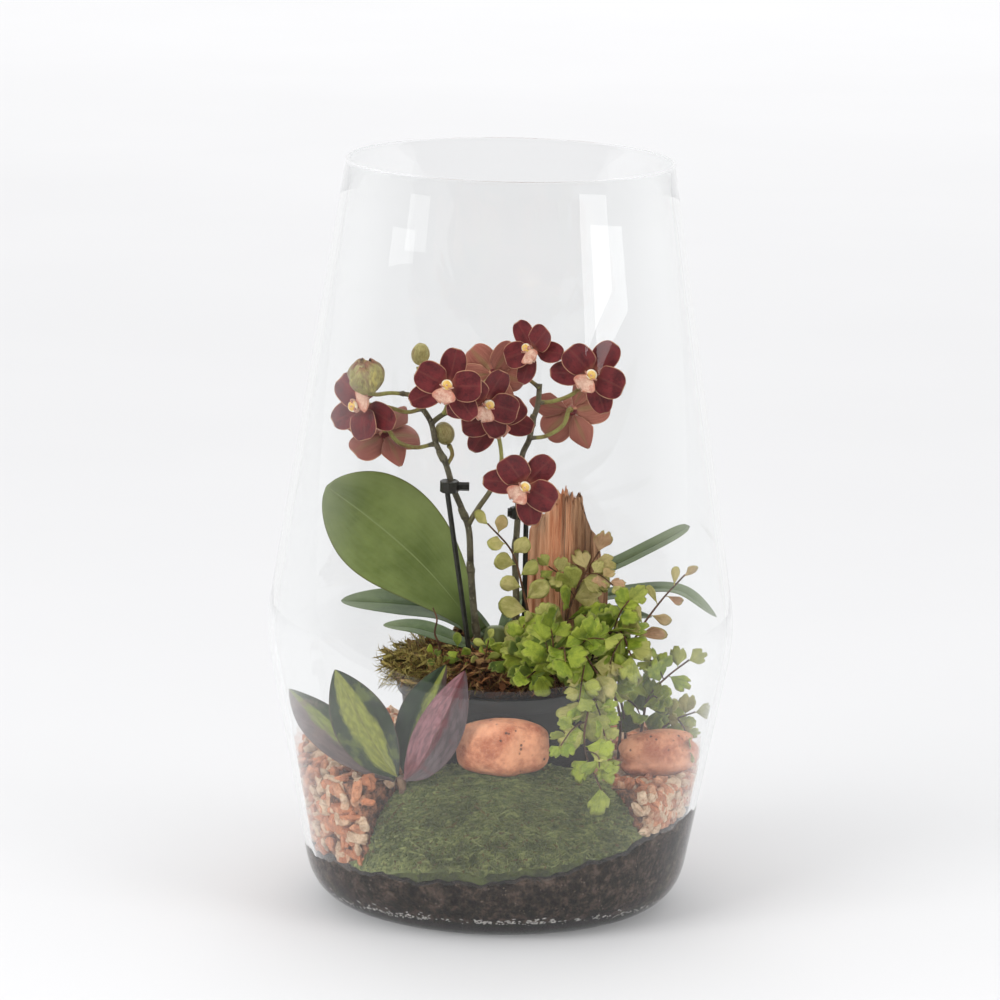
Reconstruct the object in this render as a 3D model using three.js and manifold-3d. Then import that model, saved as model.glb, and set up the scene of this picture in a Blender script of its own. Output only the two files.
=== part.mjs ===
// A moth orchid terrarium. A tall glass vase with a rounded shoulder holds soil, stone chips, a cushion
// of moss, two stones and a split piece of wood. In the middle stands a nursery pot with a moth orchid,
// and beside it grow a maidenhair fern and a variegated wax plant.
// Millimetres, +Z up. The origin is the middle of the vase's foot and the front faces -Y.

import * as THREE from 'three';
import { mergeVertices } from 'three/addons/utils/BufferGeometryUtils.js';
import Module from 'manifold-3d';

const wasm = await Module();
wasm.setup();

// Driving dimensions
const GAP = 0.3;
const SIDES_OF_VASE = 36;
const VASE_HEIGHT = 322;
const FOOT_RADIUS = 60;
const GLASS_WALL = 3;
const GLASS_FLOOR = 7.4;
const SHOULDER_HEIGHT = 119.8;
const RIM_RADIUS = 69.9;

const POT_AXIS = [2, 8];
const POT_BASE = 12;
const POT_RIM = 96;
const POT_BASE_RADIUS = 36;
const POT_TOP_RADIUS = 45;
const POT_WALL = 1.2;
const BARK_TOP = 92;

const CROWN_AXIS = [-2, 2];
const CROWN_RADIUS = 5.5;
const CROWN_FROM = 82;
const CROWN_TO = 119;

const SOIL_LOW = 25;
const SOIL_HIGH = 46;
const MOSS_TOP = 69;
const CHIP_TOP = 64;

const SPIKE_RADIUS = 1.8;
const BRANCH_RADIUS = 1.3;
const PEDICEL_RADIUS = 1.1;
const STAKE_RADIUS = 1.25;
const HUB_RADIUS = 2.4;
const HUB_DEPTH = 1.5;
const STALK_STRAIGHT = 5;

const SEPAL = { length: 17.5, width: 12.6, lift: 0, curl: 1.4, bluntness: 2.1 };
const LATERAL = { length: 19, width: 12, lift: 0, curl: 0.6, bluntness: 1.9 };
const PETAL = { length: 15.5, width: 15, lift: 2.2, curl: 1.6, bluntness: 2.3 };
const PETAL_TURN = 76;
const LATERAL_TURN = 128;
const BLADE = 0.7;
const ROOT = 0.07;

const FERN_STEM_RADIUS = 0.8;
const LOBES = 4;
const LEAFLET_THICKNESS = 0.7;

// Looks
const looks = {
  glass: new THREE.MeshStandardMaterial({
    color: 0xe8eeee,
    roughness: 0.05,
    transparent: true,
    opacity: 0.25,
  }),
  soil: new THREE.MeshStandardMaterial({ color: 0x3d332c, roughness: 0.95 }),
  moss: new THREE.MeshStandardMaterial({ color: 0x4a5230, roughness: 0.95 }),
  chips: new THREE.MeshStandardMaterial({ color: 0xd29a72, roughness: 0.85 }),
  stone: new THREE.MeshStandardMaterial({ color: 0xc98d6b, roughness: 0.8 }),
  pot: new THREE.MeshStandardMaterial({ color: 0x2b2b2b, roughness: 0.5 }),
  bark: new THREE.MeshStandardMaterial({ color: 0x4b3325, roughness: 0.95 }),
  sphagnum: new THREE.MeshStandardMaterial({ color: 0x6b5126, roughness: 0.95 }),
  wood: new THREE.MeshStandardMaterial({ color: 0xb0764f, roughness: 0.85 }),
  leaf: new THREE.MeshStandardMaterial({ color: 0x5c7a3a, roughness: 0.45, side: THREE.DoubleSide }),
  stem: new THREE.MeshStandardMaterial({ color: 0x4d5238, roughness: 0.6 }),
  stake: new THREE.MeshStandardMaterial({ color: 0x24241f, roughness: 0.5 }),
  petal: new THREE.MeshStandardMaterial({ color: 0x6a2328, roughness: 0.5 }),
  lip: new THREE.MeshStandardMaterial({ color: 0xe0ae93, roughness: 0.5 }),
  bud: new THREE.MeshStandardMaterial({ color: 0xa3a35c, roughness: 0.6 }),
  fern: new THREE.MeshStandardMaterial({ color: 0x7f9c3c, roughness: 0.6 }),
  wax: new THREE.MeshStandardMaterial({ color: 0x6f8a3c, roughness: 0.35 }),
  waxPink: new THREE.MeshStandardMaterial({ color: 0x7d3f45, roughness: 0.35 }),
};

const terrarium = new THREE.Group();
terrarium.name = 'moth_orchid_terrarium';
const placed = [];

// A repeatable draw of numbers from 0 to 1
function drawer(seed) {
  let state = seed;
  return () => {
    state = (state * 1664525 + 1013904223) % 4294967296;
    return state / 4294967296;
  };
}

const radians = THREE.MathUtils.degToRad;
const lerp = THREE.MathUtils.lerp;
const clamp = THREE.MathUtils.clamp;
const vector = (point) => new THREE.Vector3(...point);

// Value at x on a line through [x, value] points that are sorted by x
function along(points, x) {
  const last = points.length - 1;
  if (x <= points[0][0]) return points[0][1];
  for (let i = 0; i < last; i += 1) {
    const [x0, y0] = points[i];
    const [x1, y1] = points[i + 1];
    if (x <= x1) return lerp(y0, y1, (x - x0) / (x1 - x0));
  }
  return points[last][1];
}

// Smooth lumps that depend only on the place
function lumps(x, y, scale) {
  const a = Math.sin(x / scale + 1.3 * Math.sin(y / scale));
  const b = Math.sin((y * 1.3) / scale + 2.1 * Math.cos((x * 0.8) / scale));
  return (a + b) / 2;
}

// Bare geometry with shared corners, no flat triangles and faces that point out
function weld(geometry) {
  const bare = geometry.clone();
  bare.deleteAttribute('normal');
  bare.deleteAttribute('uv');
  const merged = mergeVertices(bare, 1e-4);
  const index = merged.index.array;
  const position = merged.attributes.position;
  const corner = [new THREE.Vector3(), new THREE.Vector3(), new THREE.Vector3()];
  const kept = [];
  let volume = 0;
  for (let i = 0; i < index.length; i += 3) {
    const [a, b, c] = [index[i], index[i + 1], index[i + 2]];
    if (a === b || b === c || c === a) continue;
    kept.push(a, b, c);
    [a, b, c].forEach((v, k) => corner[k].fromBufferAttribute(position, v));
    volume += corner[0].dot(corner[1].clone().cross(corner[2]));
  }
  if (volume < 0) kept.reverse();
  merged.setIndex(kept);
  return merged;
}

function solid(geometry) {
  const bare = weld(geometry);
  const vertProperties = new Float32Array(bare.attributes.position.array);
  const triVerts = new Uint32Array(bare.index.array);
  return new wasm.Manifold(new wasm.Mesh({ numProp: 3, vertProperties, triVerts }));
}

function geometryOf(body) {
  const mesh = body.getMesh();
  const geometry = new THREE.BufferGeometry();
  geometry.setAttribute('position', new THREE.Float32BufferAttribute(mesh.vertProperties, 3));
  geometry.setIndex(Array.from(mesh.triVerts));
  return geometry;
}

function largest(body) {
  const pieces = body.decompose();
  return pieces.reduce((best, piece) => (piece.volume() > best.volume() ? piece : best));
}

function join(bodies) {
  return bodies.reduce((whole, body) => whole.add(body));
}

function add(name, body, look) {
  const whole = largest(body);
  const geometry = geometryOf(whole);
  geometry.computeVertexNormals();
  geometry.computeBoundingBox();
  const mesh = new THREE.Mesh(geometry, look.clone());
  mesh.name = name;
  terrarium.add(mesh);
  placed.push({ body: whole, box: geometry.boundingBox });
}

// True where a body stays off every piece that is already there
function isClear(body, box) {
  return placed.every((piece) => !piece.box.intersectsBox(box) || piece.body.intersect(body).isEmpty());
}

function cut(body, holes) {
  return holes.reduce((rest, hole) => rest.subtract(hole), body);
}

// A closed body from rings of points, each ring as long as the next
function loft(rings, closed) {
  const count = rings[0].length;
  const points = rings.flat();
  const faces = [];
  const spans = closed ? rings.length : rings.length - 1;
  for (let r = 0; r < spans; r += 1) {
    const here = r * count;
    const next = ((r + 1) % rings.length) * count;
    for (let i = 0; i < count; i += 1) {
      const j = (i + 1) % count;
      faces.push(here + i, next + i, next + j, here + i, next + j, here + j);
    }
  }
  return { points, faces, count };
}

function bodyOf(points, faces) {
  const geometry = new THREE.BufferGeometry();
  geometry.setAttribute('position', new THREE.Float32BufferAttribute(points.flat(), 3));
  geometry.setIndex(faces);
  return solid(geometry);
}

const profileAt = (profile) => profile.map(([radius, height]) => new THREE.Vector2(radius, height));

function around(angle, radius, height) {
  return [radius * Math.cos(angle), radius * Math.sin(angle), height];
}

// Turned body whose section [radius, height], from the axis back to the axis, may change with the angle
function turned(sectionAt, sides, centre = [0, 0]) {
  const rings = [];
  for (let k = 0; k < sides; k += 1) {
    const angle = (2 * Math.PI * k) / sides;
    const ring = sectionAt(angle).map(([radius, height]) => {
      const [x, y, z] = around(angle, radius, height);
      return [x + centre[0], y + centre[1], z];
    });
    rings.push(ring);
  }
  const { points, faces, count } = loft(rings, true);
  const kept = [];
  for (let i = 0; i < faces.length; i += 3) {
    const onSeam = faces.slice(i, i + 3).map((v) => v % count);
    const closing = onSeam.includes(0) && onSeam.includes(count - 1);
    if (!closing) kept.push(...faces.slice(i, i + 3));
  }
  return bodyOf(points, kept);
}

// Part of a ring between two angles, with a closed section [radius, height] that may change with the angle
function sector(sectionAt, from, to, steps) {
  const angles = Array.from({ length: steps + 1 }, (_, k) => lerp(from, to, k / steps));
  const sections = angles.map((angle) => sectionAt(angle));
  const ringAt = (section, angle) => section.map(([radius, height]) => around(angle, radius, height));
  const rings = sections.map((section, k) => ringAt(section, angles[k]));
  const { points, faces, count } = loft(rings, false);
  const outlines = [sections[0], sections[steps]].map(profileAt);
  const [first, last] = outlines.map((outline) => THREE.ShapeUtils.triangulateShape(outline, []));
  const end = steps * count;
  const forward = !THREE.ShapeUtils.isClockWise(outlines[0]);
  const lid = ([a, b, c], from, outwards) => {
    const order = outwards ? [a, b, c] : [a, c, b];
    faces.push(...order.map((corner) => from + corner));
  };
  first.forEach((triangle) => lid(triangle, 0, forward));
  last.forEach((triangle) => lid(triangle, end, !forward));
  return bodyOf(points, faces);
}

// Stem along a smooth route, or with a clearance the hole that it stands in
function stem(route, radius, sides = 6, step = 5, clearance = 0) {
  const points = route.map(vector);
  const ends = [[points[0], points[1]], [points[points.length - 1], points[points.length - 2]]];
  const outward = ends.map(([end, inner]) => end.clone().sub(inner).setLength(clearance));
  ends.forEach(([end], i) => end.add(outward[i]));
  const curve = new THREE.CatmullRomCurve3(points);
  const outline = new THREE.Shape();
  const reach = radius + clearance / Math.cos(Math.PI / sides);
  for (let i = 0; i < sides; i += 1) {
    const angle = (2 * Math.PI * i) / sides;
    const method = i === 0 ? 'moveTo' : 'lineTo';
    outline[method](reach * Math.cos(angle), reach * Math.sin(angle));
  }
  outline.closePath();
  const steps = Math.max(2, Math.round(curve.getLength() / step));
  return solid(new THREE.ExtrudeGeometry(outline, { steps, bevelEnabled: false, extrudePath: curve }));
}

// Thin body on both sides of a surface(u, v), u from -1 to 1 and v from 0 to 1, split alike on both faces
function blade(surface, across, rows, thickness) {
  const nudge = 0.02;
  const points = [];
  [0.5, -0.5].forEach((side) => {
    rows.forEach((v) => {
      for (let i = 0; i <= across; i += 1) {
        const u = (2 * i) / across - 1;
        const middle = surface(u, v);
        const du = surface(u + nudge, v).sub(surface(u - nudge, v));
        const dv = surface(u, Math.min(v + nudge, 1)).sub(surface(u, Math.max(v - nudge, 0)));
        const normal = du.cross(dv).normalize();
        points.push(middle.addScaledVector(normal, side * thickness).toArray());
      }
    });
  });
  const width = across + 1;
  const under = width * rows.length;
  const faces = [];
  const quad = (a, b, c, d) => faces.push(a, b, c, a, c, d);
  for (let r = 0; r < rows.length - 1; r += 1) {
    for (let i = 0; i < across; i += 1) {
      const a = r * width + i;
      const b = a + 1;
      const c = b + width;
      const d = a + width;
      faces.push(a, b, c, a, c, d);
      faces.push(under + a, under + c, under + b, under + a, under + d, under + c);
    }
    const left = r * width;
    const right = left + across;
    quad(left, left + width, under + left + width, under + left);
    quad(right, under + right, under + right + width, right + width);
  }
  const top = (rows.length - 1) * width;
  for (let i = 0; i < across; i += 1) {
    quad(i, under + i, under + i + 1, i + 1);
    quad(top + i, top + i + 1, under + top + i + 1, under + top + i);
  }
  return bodyOf(points, faces);
}

// Leaf on a midrib: half its width is shape(v) times halfWidth, and its sides rise by fold
function leaf({ route, faces, halfWidth, shape, fold = 0.15, wave = 0 }, across, rows, thickness) {
  const midrib = new THREE.CatmullRomCurve3(route.map(vector));
  const face = vector(faces).normalize();
  const surface = (u, v) => {
    const middle = midrib.getPointAt(clamp(v, 0, 1));
    const ahead = midrib.getTangentAt(clamp(v, 0, 1));
    const aside = new THREE.Vector3().crossVectors(ahead, face).normalize();
    const up = new THREE.Vector3().crossVectors(aside, ahead).normalize();
    const width = halfWidth * shape(v);
    const rise = fold * width * u * u + wave * u * Math.sin(7 * v);
    return middle.addScaledVector(aside, u * width).addScaledVector(up, rise);
  };
  return blade(surface, across, rows, thickness);
}

const bulge = (v, lean, fullness) => Math.pow(Math.sin(Math.PI * Math.pow(v, lean)), fullness);
const strap = (v) => Math.max(0.16, bulge(0.1 + 0.9 * v, 1.2, 0.55));
const obovate = (v) => Math.max(0.17, bulge(v, 1.25, 0.62) * (0.55 + 0.45 * v));
const oval = (v) => Math.max(0.12, bulge(v, 0.95, 0.8));

// The vase: flat foot, low cone, rounded shoulder, long upper cone and a melted rim
const FOOT_CORNER = [78.7, 0];
const LOW_WALL = [82.4, 20];
const INSIDE_CORNER = [FOOT_CORNER[0] - GLASS_WALL + 0.6, GLASS_FLOOR];
const INSIDE_LOW_WALL = [LOW_WALL[0] - GLASS_WALL + 0.4, LOW_WALL[1] + 2];
const SHOULDER_FROM = [98.5, 106];
const SHOULDER = [101.05, SHOULDER_HEIGHT];
const SHOULDER_TO = [99.4, 130.5];
const RIM_ROUND = 2.4;

function insidePath() {
  const path = new THREE.Path();
  path.moveTo(0, GLASS_FLOOR);
  path.lineTo(FOOT_RADIUS, GLASS_FLOOR);
  path.quadraticCurveTo(...INSIDE_CORNER, ...INSIDE_LOW_WALL);
  path.lineTo(SHOULDER_FROM[0] - GLASS_WALL, SHOULDER_FROM[1]);
  path.quadraticCurveTo(SHOULDER[0] - GLASS_WALL, SHOULDER[1], SHOULDER_TO[0] - GLASS_WALL, SHOULDER_TO[1]);
  path.lineTo(RIM_RADIUS - GLASS_WALL, VASE_HEIGHT - RIM_ROUND);
  return path;
}

function outsidePath() {
  const path = new THREE.Path();
  path.moveTo(0, 0);
  path.lineTo(FOOT_RADIUS, 0);
  path.quadraticCurveTo(...FOOT_CORNER, ...LOW_WALL);
  path.lineTo(...SHOULDER_FROM);
  path.quadraticCurveTo(...SHOULDER, ...SHOULDER_TO);
  path.lineTo(RIM_RADIUS, VASE_HEIGHT - RIM_ROUND);
  path.lineTo(RIM_RADIUS - 0.8, VASE_HEIGHT);
  path.lineTo(RIM_RADIUS - GLASS_WALL + 0.8, VASE_HEIGHT);
  return path;
}

const OUTSIDE_STEPS = 3;
const INSIDE_STEPS = 2;
const insideWall = insidePath().getPoints(INSIDE_STEPS).map((point) => [point.y, point.x]);

// Radius of the inside of the glass at a height, on its flat sides
function insideRadius(height) {
  return along(insideWall.slice(1), height);
}

function lathe(points, sides) {
  const geometry = new THREE.LatheGeometry(points, sides);
  geometry.rotateX(Math.PI / 2);
  return solid(geometry);
}

function addVase() {
  const outside = outsidePath().getPoints(OUTSIDE_STEPS);
  const inside = insidePath().getPoints(INSIDE_STEPS).reverse();
  add('glass_vase', lathe([...outside, ...inside], SIDES_OF_VASE), looks.glass);
}

// Height of the soil against the glass: low in front and at the left, high at the right
function soilTop(angle) {
  const rise = Math.pow((1 + Math.cos(angle + radians(10))) / 2, 4.3);
  return SOIL_LOW + (SOIL_HIGH - SOIL_LOW) * rise;
}

function potRadius(height) {
  return lerp(POT_BASE_RADIUS, POT_TOP_RADIUS, (height - POT_BASE) / (POT_RIM - POT_BASE));
}

const RIM_LIP = 1.2;
const RIM_DROP = 6;

function potProfile(grow) {
  return [
    [0, POT_BASE - grow],
    [POT_BASE_RADIUS + grow, POT_BASE - grow],
    [potRadius(POT_RIM - RIM_DROP) + grow, POT_RIM - RIM_DROP - grow],
    [potRadius(POT_RIM) + RIM_LIP + grow, POT_RIM - RIM_DROP - grow],
    [potRadius(POT_RIM) + RIM_LIP + grow, POT_RIM + grow],
  ];
}

const SIDES_OF_POT = 28;

function potBody(profile) {
  const geometry = new THREE.LatheGeometry(profileAt(profile), SIDES_OF_POT);
  geometry.rotateX(Math.PI / 2);
  geometry.translate(POT_AXIS[0], POT_AXIS[1], 0);
  return solid(geometry);
}

function potPlug(grow) {
  return potBody([...potProfile(grow), [0, POT_RIM + grow]]);
}

function addPot() {
  const inside = [
    [potRadius(POT_RIM) - POT_WALL + 0.6, POT_RIM],
    [POT_BASE_RADIUS - POT_WALL, POT_BASE + POT_WALL],
    [0, POT_BASE + POT_WALL],
  ];
  add('nursery_pot', potBody([...potProfile(0), ...inside]), looks.pot);
}

function addSoil(plug) {
  const floor = GLASS_FLOOR + GAP;
  const sectionAt = (angle) => {
    const top = soilTop(angle);
    const lowWall = insideWall.filter(([height]) => height > GLASS_FLOOR && height < LOW_WALL[1] + 3);
    const outer = lowWall.map(([height, radius]) => [radius - 1.4 * GAP, height + 0.5 * GAP]);
    const wall = [insideRadius(top) - 1.2 * GAP, top];
    const radius = 0.68 * insideRadius(top);
    const [x, y] = around(angle, radius, 0);
    const bed = [radius, top + 0.7 * lumps(x, y, 6)];
    return [[0, floor], [FOOT_RADIUS - 1, floor], ...outer, wall, bed, [0, SOIL_LOW]];
  };
  add('soil', turned(sectionAt, SIDES_OF_VASE).subtract(plug), looks.soil);
}

// Two stones: a round one on the moss in front of the pot and a flat one on the chips at the right
function stone({ centre, half, turn, flatten, cleft = 0 }, grow) {
  const geometry = new THREE.SphereGeometry(1, 13, 8);
  geometry.rotateX(Math.PI / 2);
  const position = geometry.attributes.position;
  const point = new THREE.Vector3();
  for (let i = 0; i < position.count; i += 1) {
    point.fromBufferAttribute(position, i);
    const bulge = 1 + 0.06 * lumps(point.x * 9, point.y * 9 + point.z * 7, 4);
    const squared = Math.sign(point.z) * Math.pow(Math.abs(point.z), flatten);
    const groove = cleft * Math.exp(-Math.pow((point.z - 0.1 - 0.25 * point.x) / 0.16, 2));
    const reach = bulge - groove;
    position.setXYZ(
      i,
      point.x * reach * (half[0] + grow),
      point.y * reach * (half[1] + grow),
      squared * bulge * (half[2] + grow),
    );
  }
  geometry.rotateZ(radians(turn));
  geometry.translate(...centre);
  return solid(geometry);
}

const ROUND_STONE = { centre: [1.6, -52.5, 79.2], half: [20, 11.8, 12.6], turn: 0, flatten: 0.75 };
const FLAT_STONE = { centre: [68, -24, 71], half: [18.5, 9.5, 10.4], turn: 24, flatten: 0.8, cleft: 0.08 };

function addStones() {
  add('stone_round', stone(ROUND_STONE, 0), looks.stone);
  add('stone_flat', stone(FLAT_STONE, 0), looks.stone);
}

// Distance from the axis of the vase to the pot along an angle
function potEdge(angle, height) {
  const radius = potRadius(height) / Math.cos(Math.PI / SIDES_OF_POT) + RIM_LIP + 2 * GAP;
  const towards = POT_AXIS[0] * Math.cos(angle) + POT_AXIS[1] * Math.sin(angle);
  const away = POT_AXIS[0] ** 2 + POT_AXIS[1] ** 2 - towards ** 2;
  return towards + Math.sqrt(radius ** 2 - away);
}

const MOSS_FROM = radians(227.5);
const MOSS_TO = radians(316.5);
const MOSS_INNER = 47;

function mossHeight(angle, radius) {
  const outer = insideRadius(SOIL_LOW + 6) - 2 * GAP;
  const dome = Math.sqrt(clamp(1 - Math.pow((radius - MOSS_INNER) / (outer - MOSS_INNER), 2), 0, 1));
  const middle = Math.abs(angle - (MOSS_FROM + MOSS_TO) / 2) / ((MOSS_TO - MOSS_FROM) / 2);
  const side = 1 - 0.16 * middle ** 3;
  const low = soilTop(angle) + 1.5;
  const [x, y] = around(angle, radius, 0);
  return low + (MOSS_TOP - low) * dome * side + 0.9 * lumps(x, y, 2.6) * dome;
}

function addMoss() {
  const sectionAt = (angle) => {
    const low = soilTop(angle) + GAP + 1;
    const outer = insideRadius(low) - 3 * GAP;
    const inner = potEdge(angle, MOSS_TOP);
    const steps = [0.985, 0.93, 0.84, 0.72, 0.56, 0.38, 0.18, 0];
    const top = steps.map((share) => {
      const radius = lerp(inner, outer, share);
      return [radius, mossHeight(angle, radius)];
    });
    return [[inner, low], [outer, low], [outer + GAP, low + 2], ...top];
  };
  const cushion = sector(sectionAt, MOSS_FROM, MOSS_TO, 16);
  const holes = [stone(ROUND_STONE, 1.3 * GAP), stem(WAX_STEM, WAX_STEM_RADIUS, 7, 3, GAP)];
  add('moss_cushion', cut(cushion, holes), looks.moss);
}

// Stone chips in two heaps round the pot. Most are raised from the heap's own faces, which a seeded draw
// shifts in and out, and the largest are sunk into it.
const CHIP = { half: [4.6, 3.4, 2.6], rough: 1.5, sink: 2.2 };

function chip(random, centre) {
  const geometry = new THREE.BoxGeometry(...CHIP.half.map((half) => 2 * half));
  geometry.rotateX(random() * Math.PI);
  geometry.rotateZ(random() * Math.PI);
  geometry.rotateY(random() * Math.PI);
  geometry.translate(...centre);
  return geometry;
}

function chipTop(angle) {
  const right = Math.pow((1 + Math.cos(angle + radians(20))) / 2, 3);
  return CHIP_TOP - 2.2 * right;
}

function addChips(name, { from, to, front, seed, holes }) {
  const random = drawer(seed);
  const rough = () => CHIP.rough * (2 * random() - 1);
  const sectionAt = (angle) => {
    const low = soilTop(angle) + 5 * GAP;
    const top = chipTop(angle) - CHIP.rough;
    const inner = potEdge(angle, top);
    const wall = [0, 0.22, 0.46, 0.72, 0.97].map((share) => {
      const height = lerp(low, top, share) + (share > 0 ? 0.6 * rough() : 0);
      return [insideRadius(height) - CHIP.rough - 3 * GAP + rough(), height];
    });
    const bed = [0.76, 0.4].map((share) => [lerp(inner, insideRadius(top), share), top + rough()]);
    return [[inner, low], ...wall, ...bed, [inner, top]];
  };
  const pitch = radians(5.4);
  let heap = sector(sectionAt, from, to, Math.round((to - from) / pitch));
  const reach = Math.hypot(...CHIP.half) + 3 * GAP;
  for (let i = 0; i < 10; i += 1) {
    const angle = lerp(front[0], front[1], (i + 0.5) / 10);
    const height = lerp(soilTop(angle) + 8, chipTop(angle) - CHIP.sink, [0.1, 0.9, 0.5, 1][i % 4]);
    const geometry = chip(random, around(angle, insideRadius(height) - reach, height));
    geometry.computeBoundingBox();
    const body = solid(geometry);
    if (isClear(body, geometry.boundingBox)) heap = heap.add(body);
  }
  add(name, cut(heap, holes), looks.chips);
}

// A split piece of wood that stands in the pot, with a ragged top and ridges along its grain
const WOOD = { axis: [28.4, 5.6], half: [16.2, 6], foot: 84 };
const WOOD_TOP = [
  [12, 163],
  [18, 171],
  [25, 178.5],
  [31, 175],
  [34, 177],
  [39, 163],
  [42, 160],
  [45, 147],
];

function wood(grow) {
  const sectionAt = (angle) => {
    const wide = Math.hypot(Math.cos(angle) / WOOD.half[0], Math.sin(angle) / WOOD.half[1]);
    const ridge = 1 + 0.07 * Math.sin(9 * angle) + 0.04 * Math.sin(17 * angle + 1);
    const radius = (1 / wide) * ridge + grow;
    const x = WOOD.axis[0] + radius * Math.cos(angle);
    const top = along(WOOD_TOP, x) + 1.5 * Math.sin(11 * angle);
    const taper = x < WOOD.axis[0] ? 0.97 : 0.9;
    const foot = 0.82 * radius;
    return [
      [0, WOOD.foot - grow],
      [foot, WOOD.foot - grow],
      [radius * 0.96, 112],
      [radius, 135],
      [radius * taper, top - 3],
      [radius * 0.8 * taper, top],
      [0, 173],
    ];
  };
  return turned(sectionAt, 20, WOOD.axis);
}

// The orchid: a short crown, six leaves, two flower spikes tied to stakes, ten blooms and three buds
function crown(grow) {
  const sectionAt = () => [
    [0, CROWN_FROM - grow],
    [CROWN_RADIUS - 1 + grow, CROWN_FROM - grow],
    [CROWN_RADIUS + grow, 104],
    [CROWN_RADIUS + grow, 113],
    [CROWN_RADIUS - 2 + grow, CROWN_TO + grow],
    [0, CROWN_TO + grow],
  ];
  return turned(sectionAt, 8, CROWN_AXIS);
}

const ORCHID_LEAVES = {
  orchid_leaf_large: {
    route: [[-9.7, 2.2, 115.5], [-21, 5.5, 130], [-37, 11, 146], [-57, 15, 162], [-77, 17, 176]],
    faces: [0.1, -0.94, 0.32],
    halfWidth: 27.5,
    shape: obovate,
    fold: 0.16,
    thickness: 1.6,
    across: 6,
    rows: [0, 0.1, 0.22, 0.36, 0.5, 0.64, 0.78, 0.9, 0.97, 1],
  },
  orchid_leaf_left: {
    route: [[-6.2, 6.5, 114], [-22, 16.6, 121.6], [-45, 22, 123.5], [-70, 26, 123.5]],
    faces: [0, -0.35, 0.93],
    halfWidth: 11,
    shape: strap,
  },
  orchid_leaf_low_left: {
    route: [[-8.3, 0.2, 108], [-21, -3.3, 114], [-36, -3, 118.5], [-50.5, -3, 119.5]],
    faces: [0, -0.3, 0.95],
    halfWidth: 6.6,
    shape: strap,
  },
  orchid_leaf_high_right: {
    route: [
      [1.6, 6, 115.5], [5.5, 15, 124.5], [16, 24, 131.5],
      [45, 29, 139.5], [66, 32, 149.5], [82.5, 33, 158.5],
    ],
    faces: [-0.3, -0.38, 0.88],
    halfWidth: 7,
    shape: strap,
  },
  orchid_leaf_right: {
    route: [
      [2.5, 6.6, 111], [7.5, 17, 115], [24, 27, 121],
      [50, 25, 129], [77, 16, 133.5], [93.6, 5, 124.5],
    ],
    faces: [0.08, -0.2, 0.97],
    halfWidth: 7,
    shape: strap,
  },
  orchid_leaf_low_right: {
    route: [[2.9, 6.2, 107], [8, 17, 109.5], [24, 26, 113.5], [48, 27, 120], [66, 24, 119.5]],
    faces: [0, -0.25, 0.96],
    halfWidth: 7.5,
    shape: strap,
  },
};

function addOrchidLeaves() {
  const rows = [0, 0.12, 0.28, 0.45, 0.62, 0.78, 0.91, 1];
  Object.entries(ORCHID_LEAVES).forEach(([name, shape]) => {
    const body = leaf(shape, shape.across ?? 2, shape.rows ?? rows, shape.thickness ?? 1.4);
    add(name, body, looks.leaf);
  });
}

// Blooms: where the middle is, where it faces, which way its top sepal points as an angle seen from the
// front, and its size
const BLOOMS = {
  bloom_left_front: { at: [-60.2, -9, 216.6], faces: [-0.55, -0.82, 0.12], top: 205, size: 1 },
  bloom_left_back: { at: [-51.5, 1, 202.5], faces: [-0.15, 0.6, -0.78], top: -80, size: 1.05 },
  bloom_centre: { at: [-24, -37, 230.8], faces: [-0.12, -0.98, 0.06], top: 78, size: 0.95 },
  bloom_centre_right: { at: [-8.4, -22, 221.2], faces: [0.2, -0.96, -0.15], top: 62, size: 0.92 },
  bloom_centre_back: { at: [-5.5, 7, 228.6], faces: [0.05, 0.98, 0.12], top: 59, size: 0.92 },
  bloom_centre_low: { at: [-4.6, -11, 212.6], faces: [0.12, -0.96, -0.2], top: 112, size: 0.95 },
  bloom_low: { at: [9.2, -27, 187.3], faces: [-0.14, -0.97, -0.1], top: 48, size: 0.98 },
  bloom_right_top: { at: [11.2, -6, 241.3], faces: [-0.5, -0.84, 0.15], top: 130, size: 0.82 },
  bloom_right: { at: [36.5, -14, 233.4], faces: [-0.18, -0.97, -0.08], top: 55, size: 0.98 },
  bloom_right_back: { at: [28.5, 6, 213.4], faces: [0.25, 0.9, -0.3], top: -62, size: 1.05 },
};

function bloomFrame({ at, faces, top }) {
  const front = vector(faces).normalize();
  const up = new THREE.Vector3(Math.cos(radians(top)), 0, Math.sin(radians(top)));
  up.addScaledVector(front, -up.dot(front)).normalize();
  const right = new THREE.Vector3().crossVectors(up, front);
  return new THREE.Matrix4().makeBasis(right, up, front).setPosition(...at);
}

// The last two points of a flower stalk, which meets the bloom square from behind
function behind({ at, faces, size }) {
  const front = vector(faces).normalize();
  const away = [STALK_STRAIGHT, HUB_DEPTH * size + 1.2 * GAP];
  return away.map((distance) => vector(at).addScaledVector(front, -distance).toArray());
}

function moved(geometryBody, matrix) {
  return geometryBody.transform(matrix.elements);
}

function tepal(kind, size) {
  const shape = (v) => {
    const claw = clamp(0.3 + (v - ROOT) / 0.25, 0, 1);
    const oval = 1 - Math.pow(Math.abs(2 * v - 1), kind.bluntness);
    return Math.max(0.1, claw * Math.pow(Math.max(oval, 0), 1 / kind.bluntness));
  };
  const surface = (u, v) => {
    const half = (kind.width / 2) * size * shape(clamp(v, 0, 1));
    const root = Math.min(1, v / 0.28);
    const forward = kind.lift * root + kind.curl * v * v - 0.14 * half * (1 - u * u);
    return new THREE.Vector3(u * half, kind.length * size * v, forward);
  };
  return blade(surface, 2, [ROOT, 0.32, 0.72, 0.97], BLADE);
}

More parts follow.
